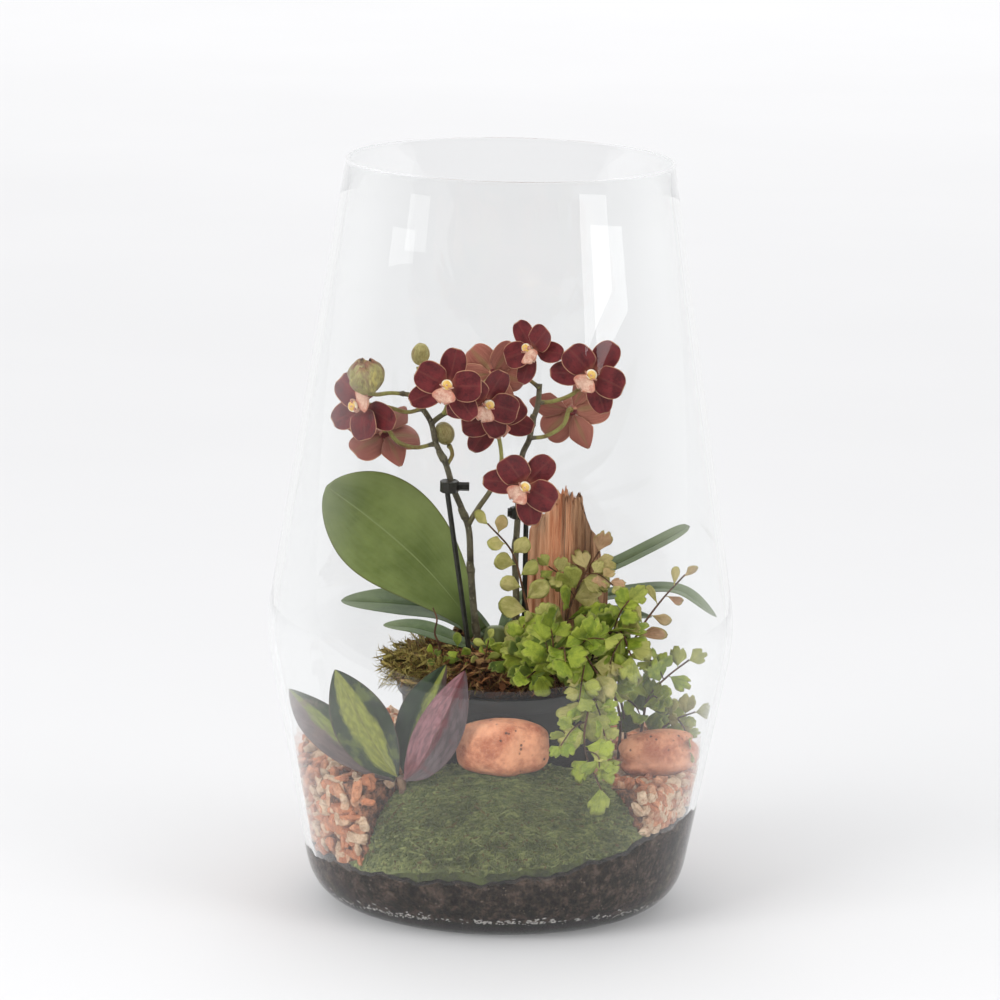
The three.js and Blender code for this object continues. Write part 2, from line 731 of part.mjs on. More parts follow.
function lipAndColumn(size) {
  const column = new THREE.CylinderGeometry(1.7 * size, 2.2 * size, 5.4 * size, 4);
  column.rotateX(Math.PI / 2);
  column.rotateZ(Math.PI / 4);
  column.translate(0, 0.6, (HUB_DEPTH + 2.7) * size + 1.3 * GAP);
  const foot = HUB_DEPTH * size + 1.9;
  const tongue = (u, v) => {
    const half = size * (0.7 + 3.2 * Math.pow(Math.sin(Math.PI * 0.9 * v), 0.8));
    const forward = foot + 1.4 + size * (4.6 * v - 3.4 * v * v) + 0.9 * u * u;
    return new THREE.Vector3(u * half, -size * (0.4 + 8.4 * v), forward);
  };
  const cheek = (side) => (u, v) => {
    const half = size * (1.2 + 1.1 * Math.sin(Math.PI * v));
    const forward = foot + 2.6 * size + u * half;
    return new THREE.Vector3(side * size * (0.8 + 2.6 * v), size * (0.5 + 2 * v), forward);
  };
  return join([
    solid(column),
    blade(tongue, 2, [0, 0.5, 1], BLADE),
    blade(cheek(1), 1, [0, 1], BLADE),
    blade(cheek(-1), 1, [0, 1], BLADE),
  ]);
}

function addBloom(name, bloom) {
  const frame = bloomFrame(bloom);
  const size = bloom.size;
  const hub = new THREE.CylinderGeometry(HUB_RADIUS * size, HUB_RADIUS * size, 2 * HUB_DEPTH * size, 5);
  hub.rotateX(Math.PI / 2);
  hub.rotateZ(Math.PI / 5);
  const turns = [
    [SEPAL, 0],
    [LATERAL, LATERAL_TURN],
    [LATERAL, -LATERAL_TURN],
    [PETAL, PETAL_TURN],
    [PETAL, -PETAL_TURN],
  ];
  const parts = turns.map(([kind, turn]) => {
    const spin = new THREE.Matrix4().makeRotationZ(radians(turn));
    return moved(tepal(kind, size), spin);
  });
  add(`${name}_tepals`, moved(join([solid(hub), ...parts]), frame), looks.petal);
  add(`${name}_lip`, moved(lipAndColumn(size), frame), looks.lip);
}

// Buds: an oval with creases where its sepals meet
const BUDS = {
  bud_opening: { at: [-59, -24, 232.6], axis: [-0.2, -0.35, 0.95], half: [8.1, 8.6], open: 0.16 },
  bud_top: { at: [-36.6, -5, 238.4], axis: [0.1, -0.1, 1], half: [4.1, 4.9], open: 0.05 },
  bud_behind: { at: [-25.8, 0, 203.4], axis: [-0.35, -0.1, 0.9], half: [4.4, 5.2], open: 0.05 },
};

function addBud(name, bud) {
  const sides = 9;
  const heights = [-0.85, -0.35, 0.2, 0.65, 0.93];
  const sectionAt = (angle) => {
    const crease = 1 - bud.open * (0.5 + 0.5 * Math.cos(3 * angle));
    const ring = heights.map((h) => [bud.half[0] * crease * Math.sqrt(1 - h * h), h * bud.half[1]]);
    const dip = bud.open > 0.1 ? 0.62 : 1;
    return [[0, -bud.half[1]], ...ring, [0, bud.half[1] * dip]];
  };
  const upright = new THREE.Vector3(0, 0, 1);
  const turn = new THREE.Quaternion().setFromUnitVectors(upright, vector(bud.axis).normalize());
  const frame = new THREE.Matrix4().compose(vector(bud.at), turn, new THREE.Vector3(1, 1, 1));
  add(name, moved(turned(sectionAt, sides), frame), looks.bud);
}

function underBud(bud) {
  return vector(bud.at).addScaledVector(vector(bud.axis).normalize(), -bud.half[1] - 2.8 * GAP).toArray();
}

// Spikes: the main stem, its branches and the stalks to the blooms and buds
const SPIKE_LEFT = [
  [-7.2, -4.4, 103], [-9.4, -6.6, 113], [-11.6, -7.2, 128], [-13.3, -7, 146],
  [-14.6, -7, 163.6], [-17.6, -7, 172], [-21.2, -6.6, 180.1], [-25.3, -6, 192.4],
  [-29.2, -5, 199.8], [-31.6, -4, 208.9], [-36.9, -4, 217],
];
const SPIKE_RIGHT = [
  [3.3, -4.2, 103], [5.6, -4.6, 113], [6.6, -4, 125], [5.7, -4, 149.7], [6.3, -4, 168.8], [6.9, -4, 188.5],
  [8, -3, 196.4], [10.4, -2, 201.6], [11.9, -2, 210.3], [13.8, -2, 216.9], [14.4, -2, 226],
];

function spikeLeft() {
  const { bloom_left_front: a, bloom_left_back: b, bloom_centre: c, bloom_centre_right: d } = BLOOMS;
  const { bloom_centre_back: e, bloom_centre_low: f, bloom_low: g } = BLOOMS;
  const branch = (route) => stem(route, BRANCH_RADIUS, 5, 8);
  const stalk = (route) => stem(route, PEDICEL_RADIUS, 3, 8);
  return join([
    stem(SPIKE_LEFT, SPIKE_RADIUS, 6, 11),
    branch([[-36.6, -4, 216], [-40.5, -4.6, 220.4], [-44.5, -5.5, 221.2]]),
    stalk([[-43.5, -5.4, 221.2], [-49, -10, 222.2], [-54.5, -16.5, 222.6], underBud(BUDS.bud_opening)]),
    stalk([[-35.5, -4, 214.6], [-41.5, -3, 212.8], [-48, -2.5, 214.2], [-54, -4, 215.8], ...behind(a)]),
    stalk([[-30, -4.6, 199.6], [-38, -4.5, 197.8], [-46, -4.5, 200.5], ...behind(b)]),
    stalk([[-36.7, -4, 217.5], [-36.2, -5.5, 225], [-36.9, -5, 231], underBud(BUDS.bud_top)]),
    branch([[-31.4, -4, 208.4], [-26.5, -3.5, 212.2], [-20.5, -3.5, 214.6], [-14.5, -3.5, 217]]),
    stalk([[-26, -3.5, 212.6], [-24.4, -14, 219.5], [-23.9, -26, 227.5], ...behind(c)]),
    stalk([[-15.5, -3.5, 216.8], [-19, -9.5, 221.5], [-16, -16, 224], ...behind(d)]),
    stalk([[-15.5, -3.5, 216.8], [-11.5, 0, 222], [-8, 2.5, 226.5], ...behind(e)]),
    stalk([[-24.6, -6, 190.5], [-22.2, -3.5, 194.6], [-22.8, -1.5, 197], underBud(BUDS.bud_behind)]),
    branch([[-15, -7, 165], [-10.5, -8.5, 173], [-5.9, -9.5, 180.2], [-2.2, -9.5, 188], [-0.8, -9, 194]]),
    stalk([[-1, -9, 192.5], [-1.6, -7.2, 199], [-3.2, -6.2, 206], ...behind(f)]),
    stalk([[-1.6, -9.3, 190.5], [2.2, -13, 191.5], [6.6, -19, 189.5], ...behind(g)]),
  ]);
}

function spikeRight() {
  const { bloom_right_top: a, bloom_right: b, bloom_right_back: c } = BLOOMS;
  const stalk = (route) => stem(route, PEDICEL_RADIUS, 3, 8);
  return join([
    stem(SPIKE_RIGHT, SPIKE_RADIUS, 6, 11),
    stalk([[14.3, -2, 224.5], [9.6, -2.4, 228.3], [5.6, -1.6, 234], [8.2, 0.4, 238.3], ...behind(a)]),
    stalk([[14, -2, 218], [20.5, -2.4, 218.8], [28.5, -4.5, 222.5], [34.6, -8, 229.5], ...behind(b)]),
    stalk([[10.6, -2, 202.5], [17.5, -0.5, 203.2], [25, 1, 208], ...behind(c)]),
  ]);
}

const STAKE_LEFT = [[-24.5, -11.4, 184], [-2.3, -11.4, 40]];
const STAKE_RIGHT = [[9.9, -0.6, 172], [10.4, -0.6, 40]];

// Clip that ties a spike to its stake: an oval sleeve with a finger tab on each side
const CLIP_LEFT = { at: [-23.1, -8.9, 182.2], half: [4, 5.5], tab: 6.2, tabAt: [-20.8, -8.9] };
const CLIP_RIGHT = { at: [8.1, -2.4, 170], half: [5.2, 4.2], tab: 6.2, tabAt: [8.1, -2.4] };

function addClip(name, clip, holes) {
  const height = 4.6;
  const sleeve = new THREE.CylinderGeometry(1, 1, height, 8);
  sleeve.rotateX(Math.PI / 2);
  sleeve.scale(clip.half[0], clip.half[1], 1);
  sleeve.translate(...clip.at);
  const tabs = new THREE.CylinderGeometry(1.9, 1.9, 2 * clip.tab, 6);
  tabs.rotateZ(Math.PI / 2);
  tabs.translate(clip.tabAt[0], clip.tabAt[1], clip.at[2]);
  add(name, cut(solid(sleeve).add(solid(tabs)), holes), looks.stake);
}

// Wax plant: four thick leaves on a short stem at the left edge of the moss
const WAX_STEM_RADIUS = 1.9;
const WAX_STEM = [[-39, -51.5, 54], [-39.6, -52.5, 60], [-40.4, -53.5, 66]];
const WAX_LEAVES = {
  wax_leaf_far_left: {
    route: [[-43.2, -53.6, 64.4], [-56, -46, 71], [-73, -31.5, 81], [-90, -13, 93]],
    faces: [-0.2, -0.72, 0.66],
    halfWidth: 9,
    look: looks.wax,
  },
  wax_leaf_left: {
    route: [[-41.95, -55, 66.3], [-49, -56, 76], [-60, -51, 94], [-69, -45, 109.5]],
    faces: [-0.12, -0.93, 0.35],
    halfWidth: 12,
    look: looks.wax,
  },
  wax_leaf_middle: {
    route: [[-39, -50.9, 66.4], [-36.5, -49.5, 78], [-31, -49, 96], [-22.5, -49.5, 113.5]],
    faces: [-0.25, -0.95, 0.2],
    halfWidth: 9,
    look: looks.wax,
  },
  wax_leaf_front: {
    route: [[-38.65, -55.8, 65], [-32.5, -60, 73], [-24, -62, 91], [-14.5, -61, 114]],
    faces: [0.15, -0.97, 0.15],
    halfWidth: 10,
    look: looks.waxPink,
  },
};

function addWaxPlant() {
  const rows = [0, 0.14, 0.32, 0.5, 0.68, 0.84, 0.95, 1];
  add('wax_stem', stem(WAX_STEM, WAX_STEM_RADIUS, 7, 3), looks.waxPink);
  Object.entries(WAX_LEAVES).forEach(([name, shape]) => {
    add(name, leaf({ shape: oval, fold: 0.3, ...shape }, 2, rows, 1.3), shape.look);
  });
}

// Maidenhair fern: thin wiry stems with a fan-shaped leaflet at each side in turn
const FRONDS = {
  fern_frond_upright: {
    route: [
      [16, -21, 97], [15, -17, 110], [12.5, -15, 125],
      [9, -15.5, 140], [4, -16.5, 156], [-6.5, -17, 168],
    ],
    faces: [0, -1, 0.1],
    from: 0.3,
    leaflets: 11,
    size: [8.4, 5.2],
    seed: 11,
  },
  fern_frond_tall: {
    route: [[27, -15, 97], [28, -11, 112], [29, -8.5, 128], [34, -8, 142], [41.5, -7.5, 155]],
    faces: [0.1, -1, 0.15],
    from: 0.25,
    leaflets: 11,
    size: [14, 10],
    seed: 23,
  },
  fern_frond_front: {
    route: [[22, -27, 97], [20, -33, 108], [24, -41, 119], [33, -48, 121], [41, -53, 112]],
    faces: [-0.1, -0.85, 0.5],
    from: 0.2,
    leaflets: 12,
    size: [15.5, 12],
    seed: 37,
  },
  fern_frond_middle: {
    route: [[33, -21, 97], [38, -28, 110], [43, -35, 123], [50, -41, 128], [55, -45, 118]],
    faces: [0, -0.9, 0.4],
    from: 0.2,
    leaflets: 12,
    size: [16, 12],
    seed: 41,
  },
  fern_frond_right: {
    route: [[56, 4, 60], [54, -8, 82], [51, -22, 104], [58, -22, 122], [68, -17, 136], [78, -12, 146.5]],
    faces: [-0.1, -1, 0.2],
    from: 0.42,
    leaflets: 12,
    size: [10, 5],
    seed: 53,
  },
  fern_frond_low_right: {
    route: [[60, 2, 60], [62, -8, 80], [64, -20, 95], [71, -23, 104], [80.5, -20, 111]],
    faces: [0, -0.95, 0.3],
    from: 0.3,
    leaflets: 10,
    size: [12.5, 9],
    seed: 67,
  },
  fern_frond_trailing: {
    route: [[52, 0, 58.5], [52, -14, 84], [46, -38, 101], [38, -57, 99], [36, -68, 84], [43, -75, 67.5]],
    faces: [0, -0.95, 0.35],
    from: 0.42,
    leaflets: 12,
    size: [15, 11.5],
    seed: 71,
  },
  fern_frond_by_glass: {
    route: [[63, 6, 60], [68, 2, 72], [76, -8, 82], [84, -14, 87]],
    faces: [-0.3, -0.9, 0.2],
    from: 0.4,
    leaflets: 6,
    size: [9.5, 8],
    seed: 83,
  },
};
const IN_POT = ['fern_frond_upright', 'fern_frond_tall', 'fern_frond_front', 'fern_frond_middle'];

function leaflet(size, grow) {
  const outline = new THREE.Shape();
  outline.moveTo(0, -grow);
  for (let i = 0; i < LOBES; i += 1) {
    const share = i / (LOBES - 1);
    const angle = radians(lerp(142, 38, share));
    const lobe = size * (0.86 + 0.18 * Math.sin(Math.PI * share)) + grow;
    outline.lineTo(0.82 * lobe * Math.cos(angle), lobe * Math.sin(angle));
  }
  outline.closePath();
  const depth = LEAFLET_THICKNESS + 2 * grow;
  const geometry = new THREE.ExtrudeGeometry(outline, { depth, bevelEnabled: false, curveSegments: 1 });
  geometry.translate(0, 0, -depth / 2);
  return geometry;
}

function frondStem(frond, grow) {
  return stem(frond.route, FERN_STEM_RADIUS, 3, 11, grow);
}

function addFrond(name, frond) {
  const random = drawer(frond.seed);
  const others = Object.values(FRONDS).filter((other) => other !== frond).map((other) => frondStem(other, GAP));
  const curve = new THREE.CatmullRomCurve3(frond.route.map(vector));
  let body = frondStem(frond, 0);
  let leaflets = null;
  for (let i = 0; i < frond.leaflets; i += 1) {
    const share = i / (frond.leaflets - 1);
    const last = i === frond.leaflets - 1;
    const place = lerp(frond.from, 0.985, share);
    const at = curve.getPointAt(place);
    const ahead = curve.getTangentAt(place);
    const size = lerp(frond.size[0], frond.size[1], share) * (0.88 + 0.24 * random());
    const side = i % 2 ? 1 : -1;
    const lean = last ? 4 : 0.3 + 0.5 * random();
    const tilt = [random() - 0.5, random() - 0.5, random() - 0.5];
    const tries = [1, -0.6, 2.2, -1.8, 3.4];
    for (const turn of tries) {
      const face = vector(frond.faces).normalize().addScaledVector(vector(tilt), 0.9 * turn).normalize();
      const out = new THREE.Vector3().crossVectors(ahead, face).multiplyScalar(side);
      out.addScaledVector(ahead, lean).normalize();
      const right = new THREE.Vector3().crossVectors(out, face).normalize();
      const front = new THREE.Vector3().crossVectors(right, out);
      const frame = new THREE.Matrix4().makeBasis(right, out, front).setPosition(at);
      const probe = leaflet(size, GAP).applyMatrix4(frame);
      probe.computeBoundingBox();
      const space = solid(probe);
      if (!isClear(space, probe.boundingBox)) continue;
      if (others.some((other) => !other.intersect(space).isEmpty())) continue;
      if (leaflets && !leaflets.intersect(space).isEmpty() && turn !== tries[tries.length - 1]) continue;
      const blade = solid(leaflet(size, 0).applyMatrix4(frame));
      body = body.add(blade);
      leaflets = leaflets ? leaflets.add(blade) : blade;
      break;
    }
  }
  add(name, body, looks.fern);
}

// Potting bark and the cap of old sphagnum and feather moss on it
function addBark(holes) {
  const sectionAt = (angle) => {
    return [
      [0, POT_BASE + POT_WALL + GAP],
      [POT_BASE_RADIUS - POT_WALL - 2.5 * GAP, POT_BASE + POT_WALL + GAP],
      [potRadius(BARK_TOP) - POT_WALL - 2.5 * GAP, BARK_TOP - 1 + lumps(angle * 9, 0, 1)],
      [0, BARK_TOP - 1],
    ];
  };
  const body = turned(sectionAt, 16, POT_AXIS);
  add('potting_bark', cut(body, holes), looks.bark);
}

const CAP_HEIGHT = 109;
const STRANDS = 12;
const STRAND_RADIUS = 0.6;

function capEdge(angle) {
  return 44 + 4.5 * Math.exp(-Math.pow((angle - radians(190)) / 0.6, 2));
}

function capHeight(angle, share) {
  const [x, y] = around(angle, 40 * share, 0);
  const dip = 1 - 0.55 * Math.exp(-Math.pow(share / 0.35, 2));
  const edge = POT_RIM + 4;
  return edge + (CAP_HEIGHT - edge) * Math.sqrt(1 - share * share) * dip + 1.2 * lumps(x, y, 3.4);
}

function addCap(holes) {
  const random = drawer(97);
  const inner = potRadius(POT_RIM) - POT_WALL - 4 * GAP;
  const sectionAt = (angle) => {
    const edge = capEdge(angle);
    const rings = [0.92, 0.74, 0.48].map((share) => [edge * share, capHeight(angle, share)]);
    return [
      [0, BARK_TOP + 2 * GAP],
      [inner - 1, BARK_TOP + 2 * GAP],
      [inner - 0.5, POT_RIM + 2 * GAP],
      [edge - 1, POT_RIM + 2 * GAP],
      [edge, POT_RIM + 2.5],
      ...rings,
      [0, capHeight(0, 0)],
    ];
  };
  let cap = turned(sectionAt, 20, POT_AXIS);
  for (let i = 0; i < STRANDS; i += 1) {
    const angle = 2 * Math.PI * ((i * 0.618) % 1);
    const share = 0.45 + 0.5 * random();
    const start = around(angle, share * capEdge(angle) - 2, capHeight(angle, share) - 3);
    const length = 8 + 8 * random();
    const turn = angle + 2.4 * (random() - 0.5);
    const rise = 1.5 + 4 * random();
    const route = [[0, turn, 0], [0.5, turn, 3 + rise], [1, turn + 0.5, 3]].map(([along, heading, up]) => {
      const [x, y, z] = around(heading, along * length, up);
      return [start[0] + x + POT_AXIS[0], start[1] + y + POT_AXIS[1], start[2] + z];
    });
    const probe = geometryOf(stem(route, STRAND_RADIUS, 4, 6, GAP));
    probe.computeBoundingBox();
    if (isClear(solid(probe), probe.boundingBox)) cap = cap.add(stem(route, STRAND_RADIUS, 3, 6));
  }
  add('sphagnum_cap', cut(cap, holes), looks.sphagnum);
}

const plug = potPlug(1.2 * GAP);
const stakeHoles = [STAKE_LEFT, STAKE_RIGHT].map((route) => stem(route, STAKE_RADIUS, 6, 80, GAP));
const spikeHoles = [SPIKE_LEFT, SPIKE_RIGHT].map((route) => stem(route, SPIKE_RADIUS, 6, 11, GAP));
const potFernHoles = IN_POT.map((name) => frondStem(FRONDS[name], GAP));
const beside = Object.keys(FRONDS).filter((name) => !IN_POT.includes(name));
const sideFernHoles = beside.map((name) => frondStem(FRONDS[name], GAP));

addVase();
addPot();
addSoil(plug);
addStones();
addMoss();
add('wood_piece', wood(0), looks.wood);
add('orchid_crown', crown(0), looks.stem);
addOrchidLeaves();
add('stake_left', stem(STAKE_LEFT, STAKE_RADIUS, 6, 80), looks.stake);
add('stake_right', stem(STAKE_RIGHT, STAKE_RADIUS, 6, 80), looks.stake);
add('spike_left', spikeLeft(), looks.stem);
add('spike_right', spikeRight(), looks.stem);
addClip('clip_left', CLIP_LEFT, [stakeHoles[0], spikeHoles[0]]);
addClip('clip_right', CLIP_RIGHT, [stakeHoles[1], spikeHoles[1]]);
Object.entries(BLOOMS).forEach(([name, bloom]) => addBloom(name, bloom));
Object.entries(BUDS).forEach(([name, bud]) => addBud(name, bud));
addWaxPlant();
addChips('stone_chips_left', {
  from: radians(91),
  to: MOSS_FROM - 0.012,
  front: [radians(170), MOSS_FROM - 0.06],
  seed: 5,
  holes: [],
});
addChips('stone_chips_right', {
  from: MOSS_TO + 0.012 - 2 * Math.PI,
  to: radians(89),
  front: [MOSS_TO + 0.06 - 2 * Math.PI, radians(12)],
  seed: 9,
  holes: [...sideFernHoles, stone(FLAT_STONE, 1.3 * GAP)],
});
addBark([crown(GAP), wood(2 * GAP), ...stakeHoles]);
addCap([crown(GAP), wood(2 * GAP), ...stakeHoles, ...spikeHoles, ...potFernHoles]);
Object.entries(FRONDS).forEach(([name, frond]) => addFrond(name, frond));

export default terrarium;
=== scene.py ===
# Moth orchid terrarium: a tall glass vase planted with an orchid, a maidenhair fern and a wax plant.
# Lengths in this file are millimetres, until each finished mesh is scaled to metres.
import math

import bmesh
import bpy
import numpy as np
from mathutils import Matrix, Vector


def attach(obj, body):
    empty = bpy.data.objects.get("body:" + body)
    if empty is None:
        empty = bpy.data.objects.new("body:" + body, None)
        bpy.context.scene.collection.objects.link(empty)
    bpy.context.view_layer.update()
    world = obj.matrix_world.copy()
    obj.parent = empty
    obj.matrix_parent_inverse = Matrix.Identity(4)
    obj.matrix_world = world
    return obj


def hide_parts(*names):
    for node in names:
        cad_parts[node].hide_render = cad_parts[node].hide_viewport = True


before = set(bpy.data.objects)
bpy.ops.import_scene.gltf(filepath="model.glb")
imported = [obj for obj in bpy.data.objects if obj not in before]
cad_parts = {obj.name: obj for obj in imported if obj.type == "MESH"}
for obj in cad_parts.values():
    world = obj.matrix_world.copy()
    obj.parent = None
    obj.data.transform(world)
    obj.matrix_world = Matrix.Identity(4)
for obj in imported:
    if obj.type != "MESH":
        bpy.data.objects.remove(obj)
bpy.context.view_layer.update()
scene = bpy.context.scene
scene.view_settings.view_transform = "Standard"

MM = 0.001
TURN = 2 * np.pi
FINISHES = {}


# Camera

def set_camera():
    """Stands 2.25 m from the vase and 11.5 degrees above it, with a long lens."""
    distance, raised = 2.25, math.radians(11.46)
    target = Vector((-0.00142, 0, 0.1748))
    place = target + distance * Vector((0, -math.cos(raised), math.sin(raised)))
    data = bpy.data.cameras.new("camera")
    data.lens, data.sensor_width, data.clip_end = 189.07, 36, 20
    camera = bpy.data.objects.new("camera", data)
    scene.collection.objects.link(camera)
    aim = (target - place).to_track_quat("-Z", "Y").to_matrix().to_4x4()
    camera.matrix_world = Matrix.Translation(place) @ aim @ Matrix.Rotation(math.radians(1.24), 4, "Z")
    scene.camera = camera


set_camera()


# Small sums

def lerp(a, b, share):
    return a + (b - a) * share


def hump(share):
    """Rises from 0 to 1 and falls back to 0 as share goes from 0 to 1."""
    return np.sin(np.pi * np.clip(share, 0, 1))


def polar(radius, angle, height, centre=(0, 0)):
    """Points at a distance from an upright axis, in a direction and at a height."""
    return np.stack([centre[0] + radius * np.cos(angle), centre[1] + radius * np.sin(angle), height], axis=-1)


def unit(v):
    v = np.asarray(v, float)
    return v / np.maximum(np.linalg.norm(v, axis=-1, keepdims=True), 1e-9)


def lumps(x, y, size):
    """Smooth lumps from -1 to 1 that depend only on the place."""
    a = np.sin(x / size + 1.3 * np.sin(y / size))
    b = np.sin(1.3 * y / size + 2.1 * np.cos(0.8 * x / size))
    return (a + b) / 2


def crumbs(x, y, z, size, rounds=3):
    """Rougher lumps: each round is half as large and half as deep as the last."""
    total = 0
    for k in range(rounds):
        s = size / 2 ** k
        total = total + (lumps(x + 7.1 * k + 0.6 * z, y - 3.7 * k + 0.7 * z, s) + lumps(z - x,
                1.1 * y + 5 * k, 1.3 * s)) / 2 ** (k + 1)
    return total


def quadratic(a, corner, b, steps):
    points = []
    for k in range(1, steps + 1):
        t = k / steps
        points.append(tuple((1 - t) ** 2 * p + 2 * t * (1 - t) * q + t * t * r
                            for p, q, r in zip(a, corner, b)))
    return points


class Line:
    """A smooth line through points, walked evenly from 0 to 1."""

    def __init__(self, points):
        p = [np.array(q, float) for q in points]
        full = [2 * p[0] - p[1], *p, 2 * p[-1] - p[-2]]
        walk = []
        for i in range(len(p) - 1):
            a, b, c, d = full[i:i + 4]
            before, here, after = [max(np.linalg.norm(u - v) ** 0.5, 1e-4)
                                   for u, v in ((b, a), (c, b), (d, c))]
            go = ((b - a) / before - (c - a) / (before + here) + (c - b) / here) * here
            come = ((c - b) / here - (d - b) / (here + after) + (d - c) / after) * here
            for t in np.linspace(0, 1, 25)[:-1]:
                walk.append((2 * t ** 3 - 3 * t * t + 1) * b + (t ** 3 - 2 * t * t + t) * go
                            + (3 * t * t - 2 * t ** 3) * c + (t ** 3 - t * t) * come)
        self.points = np.array(walk + [p[-1]])
        steps = np.linalg.norm(np.diff(self.points, axis=0), axis=1)
        self.reach = np.concatenate([[0], np.cumsum(steps)])
        self.length = self.reach[-1]

    def at(self, share):
        where = np.clip(share, 0, 1) * self.length
        return np.stack([np.interp(where, self.reach, self.points[:, k]) for k in range(3)], axis=-1)

    def ahead(self, share):
        share = np.asarray(share, float)
        return unit(self.at(np.minimum(share + 0.012, 1)) - self.at(np.maximum(share - 0.012, 0)))

    def spot(self, share):
        """One place on the line and the way it runs there."""
        share = np.array([share])
        return self.at(share)[0], self.ahead(share)[0]


# How a mesh is begun and ended

def skin(bm, around, along, place):
    """A grid drawn round into a closed skin. place(s, t) gives the points for s round it and t along it."""
    if not bm.loops.layers.uv:
        bm.loops.layers.uv.new("UVMap")
    verts = bmesh.ops.create_grid(bm, x_segments=around, y_segments=along, size=0.5, calc_uvs=True)["verts"]
    flat = np.array([v.co[:2] for v in verts]) + 0.5
    for v, point in zip(verts, place(flat[:, 0], flat[:, 1])):
        v.co = point
    bmesh.ops.remove_doubles(bm, verts=verts, dist=2e-4)
    edges = {e for v in verts if v.is_valid for e in v.link_edges if e.is_boundary}
    if edges:
        bmesh.ops.holes_fill(bm, edges=list(edges), sides=0)


def stem(bm, route, radius, sides=8, steps=None):
    """A round stem on a line. radius may be a number or a function of s round it and t along it."""
    line = route if isinstance(route, Line) else Line(route)
    steps = steps or max(3, int(line.length / 1.6))
    t = np.linspace(0, 1, steps + 1)
    middle, ahead = line.at(t), line.ahead(t)
    side = [unit(np.cross(ahead[0], [0.31, 0.87, 0.39]))]
    for k in range(1, steps + 1):
        side.append(unit(side[-1] - ahead[k] * np.dot(side[-1], ahead[k])))
    side = np.array(side)
    up = np.cross(ahead, side)

    def place(s, t):
        k = np.rint(t * steps).astype(int)
        reach = radius(s, t) if callable(radius) else np.full(len(s), radius)
        return middle[k] + reach[:, None] * (np.cos(TURN * s)[:, None] * side[k]
                                             + np.sin(TURN * s)[:, None] * up[k])

    skin(bm, sides, steps, place)


def thin(bm, surface, across, along, thick, turn=None):
    """A thin body on both sides of surface(u, v), u from -1 to 1 and v from 0 to 1, with a rounded edge."""
    def place(s, t):
        u, rise = np.cos(TURN * s), np.sin(TURN * s)
        step = 0.004
        du = surface(np.minimum(u + step, 1), t) - surface(np.maximum(u - step, -1), t)
        dv = surface(u, np.minimum(t + step, 1)) - surface(u, np.maximum(t - step, 0))
        depth = thick(u, t) if callable(thick) else np.full(len(u), thick)
        depth = depth * np.sqrt(np.clip((1 - t) * 9, 0, 1))
        points = surface(u, t) + unit(np.cross(du, dv)) * (rise * depth / 2)[:, None]
        return points if turn is None else points @ turn[0].T + turn[1]

    skin(bm, across, along, place)


def level(radius, height):
    """A station with the same radius and height all round."""
    return lambda angle: (radius + 0 * angle, height + 0 * angle)


def turned(bm, sides, section, centre=(0, 0)):
    """A body turned from stations of (radius, height), each a function of the angle, from axis to axis."""
    last = len(section) - 1

    def place(s, t):
        angle, k = TURN * s, np.rint(t * last).astype(int)
        radius, height = np.zeros(len(s)), np.zeros(len(s))
        for i, station in enumerate(section):
            pick = k == i
            radius[pick], height[pick] = station(angle[pick])
        return polar(radius, angle, height, centre)

    skin(bm, sides, last, place)


def sector(bm, section, start, stop, steps):
    """Part of a ring between two angles, with a closed section of stations (radius, height)."""
    last = len(section)

    def place(s, t):
        angle, k = lerp(start, stop, t), np.rint(s * last).astype(int) % last
        radius, height = np.zeros(len(s)), np.zeros(len(s))
        for i, station in enumerate(section):
            pick = k == i
            radius[pick], height[pick] = station(angle[pick])
        return polar(radius, angle, height)

    skin(bm, last, steps, place)


def spun(bm, profile, steps, centre=(0, 0)):
    """A profile of (radius, height) spun round an upright axis."""
    points = [bm.verts.new((r + centre[0], centre[1], z)) for r, z in profile]
    edges = [bm.edges.new(pair) for pair in zip(points, points[1:])]
    bmesh.ops.spin(bm, geom=[*points, *edges], cent=(*centre, 0), axis=(0, 0, 1), angle=TURN,
                   steps=steps, use_merge=True)
    bmesh.ops.remove_doubles(bm, verts=bm.verts, dist=1e-3)
    gaps = [e for e in bm.edges if e.is_boundary]
    if gaps:
        bmesh.ops.holes_fill(bm, edges=gaps, sides=0)


def wear(name, mesh, finish_name, nodes, slot, smooth):
    """Makes a piece of a finished mesh, with its material, its body and the CAD nodes it stands for."""
    piece = bpy.data.objects.new(name, mesh)
    scene.collection.objects.link(piece)
    mesh.materials.append(FINISHES[finish_name])
    mesh.polygons.foreach_set("use_smooth", np.full(len(mesh.polygons), smooth))
    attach(piece, "root")
    if nodes:
        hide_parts(*nodes)


def piece_of(name, bm, finish_name, nodes, slot=None):
    """Ends a body as a piece. Its slot, the finish's name unless another is given, goes to wear, which does
    not use it.
    """
    bmesh.ops.recalc_face_normals(bm, faces=bm.faces)
    mesh = bpy.data.meshes.new(name)
    bm.to_mesh(mesh)
    bm.free()
    mesh.transform(Matrix.Scale(MM, 4))
    wear(name, mesh, finish_name, nodes, slot or finish_name, True)


